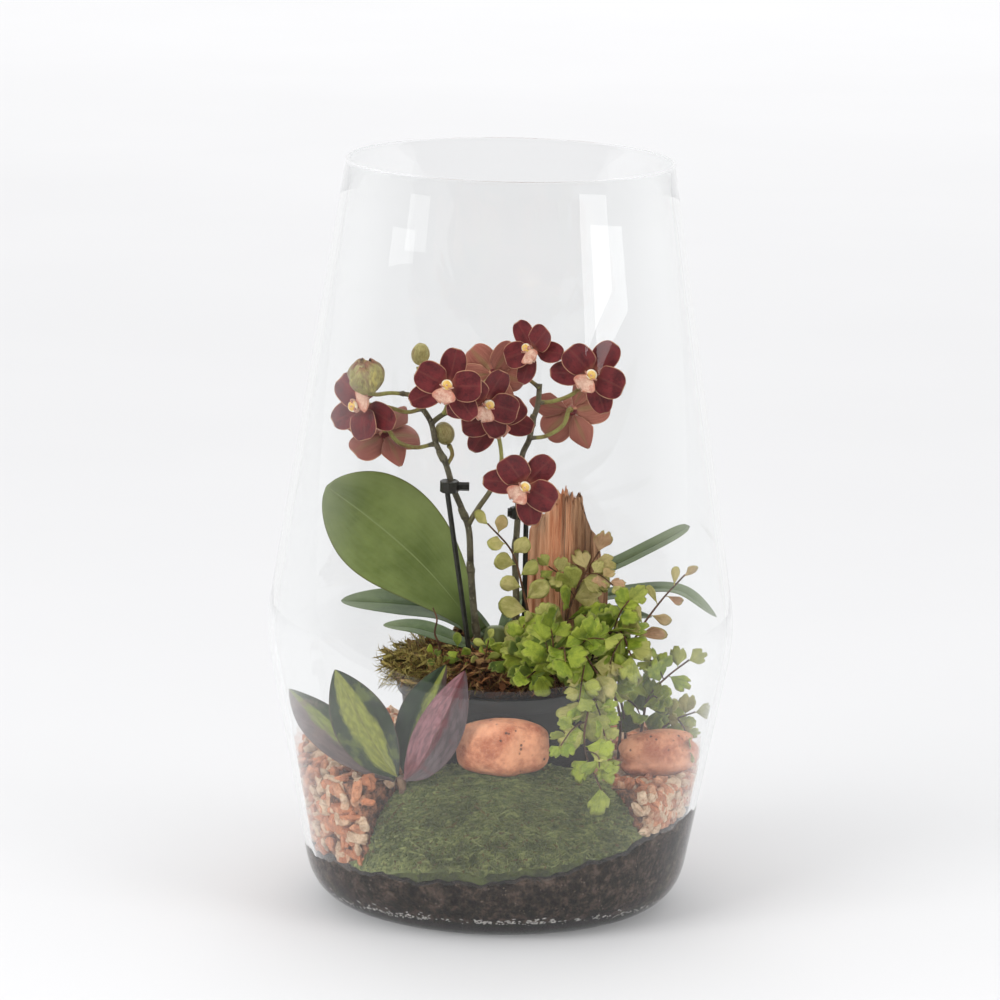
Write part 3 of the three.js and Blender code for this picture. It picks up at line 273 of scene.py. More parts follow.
def sown(name, seed_shape, count, placing, finish_name, slot, smooth=True, shade=None):
    """Doubles one small shape until there are count of it. placing(base) gives the corners of every copy."""
    bmesh.ops.recalc_face_normals(seed_shape, faces=seed_shape.faces)
    base = np.array([v.co for v in seed_shape.verts])
    sizes = [len(base), len(seed_shape.edges), len(seed_shape.faces)]
    have = 1
    while have < count:
        more = min(have, count - have)
        geom = []
        for parts, size in zip((seed_shape.verts, seed_shape.edges, seed_shape.faces), sizes):
            parts.ensure_lookup_table()
            geom.extend(parts[:more * size])
        bmesh.ops.duplicate(seed_shape, geom=geom)
        have += more
    mesh = bpy.data.meshes.new(name)
    seed_shape.to_mesh(mesh)
    seed_shape.free()
    mesh.vertices.foreach_set("co", (placing(base) * MM).reshape(-1).astype(np.float32))
    if shade is not None:
        tint = mesh.attributes.new("shade", "FLOAT", "POINT")
        tint.data.foreach_set("value", np.repeat(shade, len(base)).astype(np.float32))
    wear(name, mesh, finish_name, [], slot, smooth)


# Finishes

def colour(red, green, blue):
    """A colour as a screen shows it, from 0 to 255, for a shader."""
    return tuple((c / 255 / 12.92 if c < 10.3 else ((c / 255 + 0.055) / 1.055) ** 2.4)
                 for c in (red, green, blue)) + (1,)


class Bench:
    """Short ways to lay out the nodes of one finish."""

    def __init__(self, tree):
        self.tree = tree

    def put(self, kind, inputs=(), **settings):
        node = self.tree.nodes.new(kind)
        for key, value in settings.items():
            setattr(node, key, value)
        for key, value in dict(inputs).items():
            self.feed(node.inputs[key], value)
        return node

    def feed(self, socket, value):
        if isinstance(value, bpy.types.NodeSocket):
            self.tree.links.new(value, socket)
        else:
            socket.default_value = value

    def sum(self, how, a, b=0.0, clamp=False):
        node = self.put("ShaderNodeMath", operation=how, use_clamp=clamp)
        self.feed(node.inputs[0], a)
        self.feed(node.inputs[1], b)
        return node.outputs[0]

    def times(self, a, b):
        return self.sum("MULTIPLY", a, b)

    def plus(self, a, b):
        return self.sum("ADD", a, b)

    def minus(self, a, b):
        return self.sum("SUBTRACT", a, b)

    def fade(self, value, low, high, start=0.0, stop=1.0):
        """start below low and stop above high, with a soft change between them."""
        keys = {"Value": value, "From Min": low, "From Max": high, "To Min": start, "To Max": stop}
        return self.put("ShaderNodeMapRange", keys, interpolation_type="SMOOTHSTEP").outputs[0]

    def mix(self, share, a, b, how="MIX"):
        node = self.put("ShaderNodeMix", data_type="RGBA", blend_type=how)
        for index, value in ((0, share), (6, a), (7, b)):
            self.feed(node.inputs[index], value)
        return node.outputs[2]

    def noise(self, where, size, detail=4.0, rough=0.55, bend=0.0):
        keys = {"Vector": where, "Scale": size, "Detail": detail, "Roughness": rough, "Distortion": bend}
        return self.put("ShaderNodeTexNoise", keys).outputs["Fac"]

    def speckle(self, size, detail=4.0, rough=0.55):
        return self.noise(self.place(), size, detail, rough)

    def cells(self, size, stretch=(1, 1, 1)):
        keys = {"Vector": self.place(stretch), "Scale": size, "Randomness": 1.0}
        return self.put("ShaderNodeTexVoronoi", keys, feature="F1").outputs["Distance"]

    def dots(self, size, low, high, stretch=(1, 1, 1)):
        """1 in the middle of small spots and 0 between them."""
        return self.fade(self.cells(size, stretch), low, high, 1.0, 0.0)

    def joined(self, x, y, z=0.0):
        return self.put("ShaderNodeCombineXYZ", {0: x, 1: y, 2: z}).outputs[0]

    def tint(self, tone, where, share, rgb):
        """tone, with a share of another colour over it where the mask is 1."""
        return self.mix(self.times(where, share), tone, colour(*rgb))

    def apart(self, vector):
        return self.put("ShaderNodeSeparateXYZ", {0: vector}).outputs

    def place(self, stretch=(1, 1, 1), turn=(0, 0, 0)):
        where = self.put("ShaderNodeTexCoord").outputs["Object"]
        return self.put("ShaderNodeMapping", {"Vector": where, "Scale": stretch, "Rotation": turn}).outputs[0]

    def mark(self, name):
        return self.put("ShaderNodeAttribute", attribute_name=name).outputs["Fac"]

    def use(self, name, inputs):
        node = self.tree.nodes.new("ShaderNodeGroup")
        node.node_tree = bpy.data.node_groups[name]
        for key, value in inputs.items():
            self.feed(node.inputs[key], value)
        return node.outputs


def effect(name, inputs, outputs, lay_out):
    """Builds a node group once: inputs are name, kind and usual value, outputs name and kind."""
    tree = bpy.data.node_groups.new(name, "ShaderNodeTree")
    for label, kind, usual in inputs:
        socket = tree.interface.new_socket(name=label, in_out="INPUT", socket_type="NodeSocket" + kind)
        if usual is not None:
            socket.default_value = usual
    for label, kind in outputs:
        tree.interface.new_socket(name=label, in_out="OUTPUT", socket_type="NodeSocket" + kind)
    bench = Bench(tree)
    given = tree.nodes.new("NodeGroupInput").outputs
    results = lay_out(bench, given)
    end = tree.nodes.new("NodeGroupOutput")
    for (label, _), value in zip(outputs, results):
        bench.feed(end.inputs[label], value)


def mottle(b, given):
    """Two colours in soft patches, with a finer second set of patches over them."""
    broad = b.noise(given["Place"], given["Scale"], 5, 0.6)
    fine = b.noise(given["Place"], b.times(given["Scale"], 5.3), 3, 0.6)
    both = b.plus(b.times(broad, 0.65), b.times(fine, 0.35))
    mask = b.fade(both, given["Low"], given["High"])
    return b.mix(mask, given["Dark"], given["Light"]), mask


def leaf_lay(b, given):
    """Where a point lies on a leaf: from edge to edge, from root to tip, and on which side."""
    s, t, _ = b.apart(given["Lay"])
    turn = b.times(s, TURN)
    return b.sum("COSINE", turn), t, b.sum("GREATER_THAN", s, 0.5)


def leaf_veins(b, given):
    """Fine veins that run along a leaf and a pressed line down its middle."""
    across, along = given["Across"], given["Along"]
    lines = b.joined(b.times(across, given["Count"]), b.times(along, 1.5))
    veins = b.noise(lines, 1.0, 2, 0.5)
    middle = b.minus(1.0, b.fade(b.sum("ABSOLUTE", across), 0.0, given["Midrib"]))
    return veins, middle


effect("mottle", [("Place", "Vector", None), ("Scale", "Float", 50.0), ("Dark", "Color", None),
                  ("Light", "Color", None), ("Low", "Float", 0.35), ("High", "Float", 0.65)],
       [("Colour", "Color"), ("Mask", "Float")], mottle)
effect("leaf_lay", [("Lay", "Vector", None)],
       [("Across", "Float"), ("Along", "Float"), ("Under", "Float")], leaf_lay)
effect("leaf_veins", [("Across", "Float", 0.0), ("Along", "Float", 0.0), ("Count", "Float", 14.0),
                      ("Midrib", "Float", 0.06)],
       [("Veins", "Float"), ("Middle", "Float")], leaf_veins)


def look(tone, height=None, depth=0.0005, strength=0.6, rough=None):
    """What a finish is made of: its colour, the height and depth of its relief, and its roughness."""
    return {"colour": tone, "height": height, "depth": depth, "strength": strength, "rough": rough}


def finish(name, lay_out, rough=0.5, **plain):
    """A material from lay_out(bench), kept under its name for the pieces that wear it."""
    material = bpy.data.materials.new(name)
    material.use_nodes = True
    material.node_tree.nodes.clear()
    b = Bench(material.node_tree)
    shader = b.put("ShaderNodeBsdfPrincipled", {"Roughness": rough})
    for key, value in plain.items():
        shader.inputs[key.replace("_", " ")].default_value = value
    made = lay_out(b)
    b.feed(shader.inputs["Base Color"], made["colour"])
    if made["rough"] is not None:
        b.feed(shader.inputs["Roughness"], made["rough"])
    if made["height"] is not None:
        relief = {"Height": made["height"], "Distance": made["depth"], "Strength": made["strength"]}
        b.feed(shader.inputs["Normal"], b.put("ShaderNodeBump", relief).outputs[0])
    b.put("ShaderNodeOutputMaterial", {"Surface": shader.outputs[0]})
    FINISHES[name] = material
    return material


def finishes(roughness, **plain):
    """Builds the finishes of a table of recipes and their roughness."""
    for recipe, rough in roughness.items():
        finish(recipe.__name__, recipe, rough, **plain)


def patches(b, scale, dark, light, low=0.38, high=0.62, stretch=(1, 1, 1)):
    out = b.use("mottle", {"Place": b.place(stretch), "Scale": scale, "Dark": colour(*dark),
                           "Light": colour(*light), "Low": low, "High": high})
    return out["Colour"], out["Mask"]


def clear_glass():
    material = bpy.data.materials.new("clear_glass")
    material.use_nodes = True
    material.node_tree.nodes.clear()
    b = Bench(material.node_tree)
    glass = b.put("ShaderNodeBsdfPrincipled", {"Base Color": (0.992, 0.996, 0.994, 1), "Roughness": 0.0,
                                               "IOR": 1.46, "Transmission Weight": 1.0})
    ripple = b.noise(b.place((1, 1, 0.35)), 9.0, 1, 0.4)
    bump = b.put("ShaderNodeBump", {"Height": ripple, "Distance": 0.001, "Strength": 0.05})
    b.feed(glass.inputs["Normal"], bump.outputs[0])
    clear = b.put("ShaderNodeBsdfTransparent", {"Color": (0.975, 0.98, 0.978, 1)})
    rays = b.put("ShaderNodeLightPath").outputs
    shown = glass
    for ray in ("Is Reflection Ray", "Is Shadow Ray", "Is Diffuse Ray"):
        shown = b.put("ShaderNodeMixShader", {0: rays[ray], 1: shown.outputs[0], 2: clear.outputs[0]})
    b.put("ShaderNodeOutputMaterial", {"Surface": shown.outputs[0]})
    return material


def pot_plastic(b):
    tone, mask = patches(b, 60, (23, 23, 22), (38, 37, 34))
    return look(tone, b.speckle(900, 2), 0.0002, 0.25, b.fade(mask, 0, 1, 0.38, 0.55))


def dark_soil(b):
    tone, mask = patches(b, 210, (46, 36, 30), (112, 94, 82), 0.4, 0.62)
    fine, _ = patches(b, 520, (110, 100, 94), (255, 255, 255), 0.4, 0.6)
    tone = b.mix(0.75, tone, fine, "MULTIPLY")
    broad, _ = patches(b, 90, (104, 98, 96), (255, 255, 255), 0.38, 0.58)
    tone = b.mix(0.75, tone, broad, "MULTIPLY")
    grit = b.dots(560, 0.0, 0.3)
    rare = b.fade(b.speckle(240, 2), 0.54, 0.6)
    tone = b.tint(tone, grit, rare, (150, 134, 118))
    # Near-black over the lowest soil, just above the glass floor: painted shade at the foot of the vase.
    foot = b.fade(b.apart(b.place())[2], 0.0086, 0.0102, 0.8, 0.0)
    tone = b.mix(foot, tone, colour(26, 22, 18))
    return look(tone, b.plus(mask, b.times(b.cells(700), 0.6)), 0.0012, 0.9)


def damp_specks(b):
    tone, mask = patches(b, 600, (168, 162, 156), (224, 220, 214), 0.4, 0.6)
    return look(tone, b.speckle(2000, 2), 0.0001, rough=b.fade(mask, 0, 1, 0.3, 0.6))


def moss_bed(b):
    tone, mask = patches(b, 130, (56, 62, 29), (94, 101, 49))
    return look(tone, b.speckle(900, 3), 0.0012, 0.9)


def moss_blades(b):
    shade = b.mark("shade")
    tone = b.mix(b.fade(shade, 0.1, 0.9), colour(100, 110, 60), colour(154, 160, 98))
    patch, _ = patches(b, 75, (104, 98, 70), (255, 255, 255), 0.36, 0.6)
    tone = b.mix(0.5, tone, patch, "MULTIPLY")
    dry = b.sum("GREATER_THAN", shade, 0.93)
    return look(b.mix(dry, tone, colour(110, 92, 52)), b.speckle(1500, 1), 0.0001)


def stone_chips(b):
    shade = b.mark("shade")
    tone, mask = patches(b, 230, (160, 92, 54), (212, 140, 98), 0.36, 0.64)
    tone = b.mix(b.fade(shade, 0.0, 0.3, 0.35, 0.0), tone, colour(122, 78, 52))
    cream = b.mix(b.fade(mask, 0, 1), colour(178, 144, 114), colour(214, 186, 156))
    tone = b.mix(b.fade(shade, 0.44, 0.66), tone, cream)
    rust = b.fade(b.speckle(520, 3), 0.6, 0.72)
    tone = b.tint(tone, rust, 0.6, (150, 74, 38))
    return look(tone, b.speckle(800, 4), 0.0006, 0.7, b.fade(mask, 0, 1, 0.62, 0.85))


def chip_bed(b):
    tone, mask = patches(b, 300, (70, 42, 26), (168, 112, 80), 0.4, 0.62)
    return look(tone, b.cells(260), 0.002, 0.9)


def orange_stone(b):
    tone, mask = patches(b, 75, (176, 96, 60), (226, 156, 116), 0.36, 0.62)
    pale = b.fade(b.speckle(34, 4), 0.52, 0.68)
    tone = b.tint(tone, pale, 0.75, (222, 184, 152))
    band = b.fade(b.noise(b.place((1, 1, 2.2)), 30, 3, 0.5), 0.54, 0.64)
    tone = b.tint(tone, band, 0.55, (238, 170, 132))
    # Dark pits: painted shade in the stone's small hollows, which the relief also presses in.
    shaded_pits = b.dots(330, 0.1, 0.26)
    some = b.fade(b.speckle(120, 2), 0.52, 0.6)
    shaded_pits = b.times(shaded_pits, some)
    rust = b.fade(b.speckle(110, 6, 0.7), 0.52, 0.68)
    tone = b.tint(tone, rust, 0.4, (150, 82, 56))
    tone = b.tint(tone, shaded_pits, 0.9, (66, 38, 28))
    height = b.minus(b.speckle(260, 5), b.times(shaded_pits, 0.8))
    return look(tone, height, 0.0012, 0.7, b.fade(mask, 0, 1, 0.5, 0.75))


def split_wood(b):
    grain_place = b.place((1, 1, 0.05))
    grain = b.noise(grain_place, 420, 6, 0.65, 0.25)
    broad = b.noise(b.place((1, 1, 0.12)), 120, 4, 0.6)
    orange = b.mix(b.fade(grain, 0.35, 0.65), colour(200, 124, 86), colour(244, 186, 146))
    orange = b.mix(b.fade(broad, 0.5, 0.68), orange, colour(232, 186, 150))
    brown = b.mix(b.fade(grain, 0.35, 0.65), colour(112, 76, 52), colour(196, 152, 116))
    x, y, z = b.apart(b.place())
    side = b.plus(x, b.times(broad, 0.012))
    tone = b.mix(b.fade(side, 0.033, 0.0385), orange, brown)
    # Dark cracks and bark grooves: painted shade in the recesses; the grooves are also pressed into the
    # relief.
    shaded_cracks = b.fade(grain, 0.3, 0.4, 1.0, 0.0)
    tone = b.tint(tone, shaded_cracks, 0.65, (70, 40, 26))
    shaded_grooves = b.fade(b.noise(b.place((1, 1, 0.03)), 210, 2), 0.34, 0.42, 1.0, 0.0)
    tone = b.tint(tone, shaded_grooves, 0.5, (70, 44, 32))
    top = b.fade(b.plus(z, b.times(broad, 0.01)), 0.176, 0.183)
    tone = b.tint(tone, top, 0.2, (120, 82, 54))
    return look(tone, b.minus(b.plus(grain, b.times(broad, 0.8)), shaded_grooves), 0.002, 0.9)


def old_sphagnum(b):
    tone, mask = patches(b, 260, (34, 20, 11), (88, 60, 36))
    return look(tone, b.speckle(700, 4), 0.001, 0.9)


def sphagnum_strands(b):
    shade = b.mark("shade")
    tone = b.mix(b.fade(shade, 0.0, 0.55), colour(82, 50, 27), colour(160, 106, 64))
    tone = b.mix(b.fade(shade, 0.6, 0.72), tone, colour(184, 142, 94))
    green = b.fade(shade, 0.8, 0.86)
    tone = b.mix(green, tone, colour(172, 156, 84))
    return look(b.mix(b.fade(b.speckle(400, 2), 0.42, 0.75), tone, colour(70, 44, 24)),
                b.speckle(1300, 2), 0.0002)


def potting_bark(b):
    tone, mask = patches(b, 110, (44, 27, 18), (108, 74, 50))
    return look(tone, b.plus(b.cells(160), b.speckle(600, 3)), 0.002, 0.9)


def black_plastic(b):
    tone, mask = patches(b, 240, (28, 28, 24), (50, 48, 40))
    return look(tone, b.noise(b.place((1, 1, 0.2)), 900, 2), 0.0001, 0.3, b.fade(mask, 0, 1, 0.35, 0.5))


FINISHES["clear_glass"] = clear_glass()
finishes({pot_plastic: 0.45, dark_soil: 0.95, damp_specks: 0.5, moss_bed: 0.95, moss_blades: 0.75,
          stone_chips: 0.75, chip_bed: 0.85, orange_stone: 0.6, split_wood: 0.85, old_sphagnum: 0.95,
          sphagnum_strands: 0.8, potting_bark: 0.9, black_plastic: 0.42})


# Vase

GLASS_FLOOR = 7.4
FOOT_RADIUS = 60
RIM_RADIUS = 69.9

OUTSIDE = [(0, 0), (FOOT_RADIUS, 0), *quadratic((FOOT_RADIUS, 0), (78.7, 0), (82.4, 20), 12), (98.5, 106),
           *quadratic((98.5, 106), (101.05, 119.8), (99.4, 130.5), 12), (RIM_RADIUS, 319.6)]
INSIDE = [(0, GLASS_FLOOR), (FOOT_RADIUS, GLASS_FLOOR),
          *quadratic((FOOT_RADIUS, GLASS_FLOOR), (76.3, GLASS_FLOOR), (79.8, 22), 12),
          (95.5, 106), *quadratic((95.5, 106), (98.05, 119.8), (96.4, 130.5), 12), (69.2, 305),
          (RIM_RADIUS - 1.6, 319.6)]


def inside_radius(height):
    wall = INSIDE[1:]
    return np.interp(height, [z for _, z in wall], [r for r, _ in wall])


def keep_in_glass(points, gap):
    """The same points, drawn in to a gap inside the glass where they would pass it."""
    reach = np.hypot(points[..., 0], points[..., 1])
    limit = np.minimum(1, (inside_radius(points[..., 2]) - gap) / np.maximum(reach, 1e-6))
    points = points.copy()
    points[..., :2] *= limit[..., None]
    return points


def ringed(profile, gap=7.0):
    """The same outline with more points on its straight runs, so that the gloss follows the real wall."""
    points = [profile[0]]
    for start, stop in zip(profile, profile[1:]):
        steps = max(1, round(math.dist(start, stop) / gap))
        points += [(lerp(start[0], stop[0], k / steps), lerp(start[1], stop[1], k / steps))
                   for k in range(1, steps + 1)]
    return points


def make_vase():
    bm = bmesh.new()
    rim = [(RIM_RADIUS - 0.8 + 0.8 * math.cos(a), 321.2 + 0.8 * math.sin(a))
           for a in np.linspace(0.0, math.pi, 9)]
    spun(bm, [*ringed(OUTSIDE), *rim, *reversed(ringed(INSIDE))], 144)
    piece_of("vase_glass", bm, "clear_glass", ["glass_vase"])


make_vase()


# Soil, chips, moss and stones

UPRIGHT = [(0, 0, 0), (0, 0, 0.5), (0, 0, 1)]
POT_AXIS = (2, 8)
POT_BASE, POT_RIM = 12, 96
POT_BASE_RADIUS, POT_TOP_RADIUS = 36, 45
RIM_LIP = 1.2
MOSS_FROM, MOSS_TO = math.radians(227.5), math.radians(316.5)
MOSS_TOP, MOSS_INNER, MOSS_FOOT = 69, 47, 31
MOSS_PULL = 2.6
MOSS_BLADES, CHIPS_IN_HEAP, DROPS, STRANDS, SPRIGS = 18000, 1000, 760, 5200, 230
SOIL_FOOT, SOIL_UNDER_POT = 22.6, 11.4
CAP_UNDER, CAP_LIP = 92.6, 96.6
CHIP_TOP = 64


def pot_radius(height):
    return lerp(POT_BASE_RADIUS, POT_TOP_RADIUS, (height - POT_BASE) / (POT_RIM - POT_BASE))


def pot_edge(angle, height):
    """Distance from the vase's axis to the pot along an angle."""
    radius = pot_radius(height) + RIM_LIP + 0.7
    towards = POT_AXIS[0] * np.cos(angle) + POT_AXIS[1] * np.sin(angle)
    away = POT_AXIS[0] ** 2 + POT_AXIS[1] ** 2 - towards ** 2
    return towards + np.sqrt(radius ** 2 - away)


def soil_top(angle):
    uneven = 0.8 * np.sin(17 * angle + 1) + 0.5 * np.sin(39 * angle) + 0.35 * np.sin(71 * angle + 2)
    return 25 + 21 * ((1 + np.cos(angle + math.radians(10))) / 2) ** 4.3 + uneven


CLING = 0.1


def make_soil():
    """The damp soil clings to the glass, so its skin runs a hair inside the glass."""
    def corner(radius, height, out, down):
        return level(radius + out * CLING, height - down * CLING)

    def wall(share):
        def station(angle):
            height = lerp(SOIL_FOOT, soil_top(angle) - 0.4, share)
            return inside_radius(height) + CLING, height
        return station

    def bed(share):
        def station(angle):
            height = soil_top(angle)
            radius = lerp(inside_radius(height) - 1.2, pot_edge(angle, height), share)
            x, y = radius * np.cos(angle), radius * np.sin(angle)
            return radius, height + 0.9 * crumbs(x, y, height, 5) * (1 - share)
        return station

    section = [level(0, GLASS_FLOOR - 0.1), level(57, GLASS_FLOOR - 0.1)]
    for k in range(1, 14):
        (r, z), (r0, z0), (r1, z1) = INSIDE[k], INSIDE[k - 1], INSIDE[k + 1]
        length = math.hypot(r1 - r0, z1 - z0)
        section.append(corner(r, z, (z1 - z0) / length, (r1 - r0) / length))
    section += [wall(k / 12) for k in range(13)] + [bed(k / 10) for k in range(11)]
    section += [lambda a: (pot_edge(a, SOIL_UNDER_POT), SOIL_UNDER_POT + 0 * a), level(0, SOIL_UNDER_POT)]
    bm = bmesh.new()
    turned(bm, 240, section)
    piece_of("soil_bed", bm, "dark_soil", ["soil"])


def make_damp_specks():
    """A thin line of pale drops where the soil meets the glass at the foot."""
    draw = np.random.default_rng(3)
    count = DROPS
    angle = draw.uniform(0, TURN, count * 3)
    thick = 0.5 + 0.5 * np.sin(5 * angle + 1.3) * np.sin(13 * angle)
    angle = angle[draw.uniform(0, 1, count * 3) < 0.25 + 0.75 * thick][:count]
    count = len(angle)
    height = 9.3 + 0.5 * np.sin(3 * angle) + draw.normal(0, 0.45,
                                                         count) + 2.2 * (draw.uniform(0, 1,
            count) < 0.12) * draw.uniform(0, 1, count)
    size = np.stack([draw.uniform(0.3, 1.3, count), 0 * angle + 0.28, draw.uniform(0.18, 0.42, count)],
                    axis=-1)
    lean = draw.uniform(-0.5, 0.5, count)

    def placing(base):
        x, y, z = [base[None, :, k] * size[:, None, k] for k in range(3)]
        along = x * np.cos(lean)[:, None] - z * np.sin(lean)[:, None]
        high = height[:, None] + x * np.sin(lean)[:, None] + z * np.cos(lean)[:, None]
        radius = inside_radius(high) + CLING + y
        around = angle[:, None] + along / radius
        return polar(radius, around, high)

    speck = bmesh.new()
    bmesh.ops.create_icosphere(speck, subdivisions=1, radius=1)
    sown("damp_specks", speck, count, placing, "damp_specks", "dark_soil")


def moss_ends(angle):
    """0 in the middle of the cushion, 1 at its ends."""
    return np.abs(angle - (MOSS_FROM + MOSS_TO) / 2) / ((MOSS_TO - MOSS_FROM) / 2)


def moss_height(angle, radius):
    middle = moss_ends(angle)
    outer = inside_radius(MOSS_FOOT) - 0.6 - MOSS_PULL * middle ** 12
    dome = np.sqrt(np.clip(1 - ((radius - MOSS_INNER) / (outer - MOSS_INNER)) ** 2, 0, 1))
    low = soil_top(angle) + 1.5
    x, y = radius * np.cos(angle), radius * np.sin(angle)
    uneven = (0.35 * lumps(x, y, 2.6) + 0.7 * lumps(x, y, 6.1)) * dome
    return low + (MOSS_TOP - low) * dome * (1 - 0.16 * middle ** 3) + uneven


STONES = {
    "stone_round": dict(centre=(1.6, -52.5, 79.2), half=(20, 11.8, 12.6), turn=0,
                        flatten=0.62, cleft=0, hollow=0.13),
    "stone_flat": dict(centre=(68, -24, 71), half=(18.5, 9.5, 10.4), turn=24,
                       flatten=0.7, cleft=0.12, hollow=0.05),
}


def inside_stone(x, y, z, stone):
    """True where a point lies within a stone."""
    turn = math.radians(stone["turn"])
    dx, dy, dz = x - stone["centre"][0], y - stone["centre"][1], z - stone["centre"][2]
    u, v = dx * math.cos(turn) + dy * math.sin(turn), dy * math.cos(turn) - dx * math.sin(turn)
    a, b, c = stone["half"]
    return (u / a) ** 2 + (v / b) ** 2 + (dz / c) ** 2 < 1


def make_moss():
    def top(share):
        def station(angle):
            radius = lerp(pot_edge(angle, MOSS_TOP), foot(angle)[0], share)
            return radius, moss_height(angle, radius) - 0.8
        return station

    def foot(angle):
        low = soil_top(angle) + 1.3
        return inside_radius(low) - 0.9 - MOSS_PULL * moss_ends(angle) ** 12, low

    shares = (0.985, 0.96, 0.93, 0.89, 0.84, 0.78, 0.72, 0.64, 0.56, 0.47, 0.38, 0.28, 0.18, 0.09, 0)
    section = [lambda a: (pot_edge(a, MOSS_TOP), soil_top(a) + 1.3), foot, *[top(s) for s in shares]]
    bm = bmesh.new()
    sector(bm, section, MOSS_FROM, MOSS_TO, 90)
    piece_of("moss_bed", bm, "moss_bed", ["moss_cushion"], "moss")

    draw = np.random.default_rng(5)
    count = MOSS_BLADES
    angle = draw.uniform(MOSS_FROM - 0.05, MOSS_TO + 0.05, count * 3)
    angle += 0.035 * draw.normal(0, 1, count * 3) * (np.abs(angle - (MOSS_FROM + MOSS_TO) / 2) > 0.72)
    low = soil_top(angle) + 1.3
    share = draw.uniform(0, 1, count * 3) ** 0.6
    radius = lerp(pot_edge(angle, MOSS_TOP), inside_radius(low) - 1.4, share)
    steep = draw.uniform(0, 1, count * 3) < 0.5
    radius = np.where(steep, lerp(MOSS_INNER, inside_radius(MOSS_FOOT) - 0.8,
                                  np.sqrt(1 - draw.uniform(0, 1, count * 3) ** 2)), radius)
    height = np.maximum(moss_height(angle, radius) - 1.0, low)
    radius = np.minimum(radius, inside_radius(height) - 0.7)
    x, y = radius * np.cos(angle), radius * np.sin(angle)
    free = ~inside_stone(x, y, height, STONES["stone_round"])
    x, y, height, angle, radius = [v[free][:count] for v in (x, y, height, angle, radius)]
    count = len(x)
    step = 0.4
    slope = (moss_height(angle, radius + step) - moss_height(angle, radius - step)) / (2 * step)
    out = polar(1, angle, 0 * angle)
    normal = unit(np.array([0, 0, 1.0]) - out * np.clip(slope, -4, 4)[:, None])
    lean = unit(0.4 * normal + out * 0.3 + draw.normal(0, 0.36, (count, 3)) + np.array([0, 0, 1.1]))
    side = unit(np.cross(lean, draw.normal(0, 1, (count, 3))))
    front = np.cross(lean, side)
    length = draw.uniform(1.0, 2.6, count)
    width = draw.uniform(0.14, 0.3, count)
    root = np.stack([x, y, height], axis=-1)

    def placing(base):
        curl = (base[:, 2] ** 2)[None, :] * draw.uniform(-0.5, 0.5, count)[:, None]
        points = root[:, None] + side[:, None] * ((base[:, 0][None] + curl) * width[:, None])[..., None]
        points += front[:, None] * (base[:, 1][None] * width[:, None])[..., None]
        points += lean[:, None] * (base[:, 2][None] * length[:, None])[..., None]
        return keep_in_glass(points, 0.2)

    blade = bmesh.new()
    stem(blade, UPRIGHT, lambda s, t: 1.05 - t * 0.95, 3, 1)
    sown("moss_blades", blade, count, placing, "moss_blades", "moss", False, draw.uniform(0, 1, count))


def chip_top(angle):
    return CHIP_TOP - 2.2 * ((1 + np.cos(angle + math.radians(20))) / 2) ** 3


def make_chips(name, start, stop, seed, count):
    def wall(share):
        def station(angle):
            height = lerp(soil_top(angle) + 1.5, chip_top(angle) - 1.5, share)
            return inside_radius(height) - 3.4 + 0.7 * crumbs(70 * angle, height, height, 4), height
        return station

    def bed(share):
        def station(angle):
            height = chip_top(angle) - 1.6
            radius = lerp(inside_radius(height) - 4, pot_edge(angle, height), share)
            return radius, height + 0.7 * crumbs(radius * np.cos(angle), radius * np.sin(angle), 0 * angle, 4)
        return station

    section = [lambda a: (pot_edge(a, CHIP_TOP), soil_top(a) + 1.5)] + [wall(k / 12)
            for k in range(13)] + [bed(k / 10) for k in range(11)]
    bm = bmesh.new()
    sector(bm, section, start, stop, 110)
    piece_of(name, bm, "chip_bed", ["stone_" + name.replace("heap_", "chips_")], "stone_chips")

    draw = np.random.default_rng(seed)
    angle = draw.uniform(start + 0.01, stop - 0.01, count)
    angle += draw.normal(0, 0.075, count) * (draw.uniform(0, 1, count) < 0.4)
    on_wall = draw.uniform(0, 1, count) < 0.62
    rise = draw.uniform(0, 1, count)
    height = np.where(on_wall, lerp(soil_top(angle) + 2.2, chip_top(angle) - 0.5, rise), chip_top(angle)
                      - 1.2)
    radius = np.where(on_wall, inside_radius(height) - draw.uniform(1.6, 4.0, count),
                      lerp(pot_edge(angle, CHIP_TOP) + 2.5, inside_radius(height) - 3, rise))
    middle = polar(radius, angle, height)
    half = np.stack([draw.uniform(2.4, 5.6, count), draw.uniform(1.5, 3.1, count),
                     draw.uniform(1.0, 2.2, count)], axis=-1)
    axes = np.linalg.qr(draw.normal(0, 1, (count, 3, 3)))[0]
    dents = draw.uniform(0.66, 1.14, (count, 42))

    def placing(base):
        local = base[None] * dents[:, :len(base), None]
        local = np.sign(local) * np.abs(local) ** 0.7 * half[:, None]
        points = middle[:, None] + np.einsum("kij,knj->kni", axes, local)
        points[..., 2] = np.maximum(points[..., 2], (soil_top(angle) + 0.6)[:, None])
        return keep_in_glass(points, 0.2)

    chip = bmesh.new()
    bmesh.ops.create_icosphere(chip, subdivisions=2, radius=1)
    sown(name.replace("heap", "chips"), chip, count, placing, "stone_chips", "stone_chips", False,
         draw.uniform(0, 1, count))


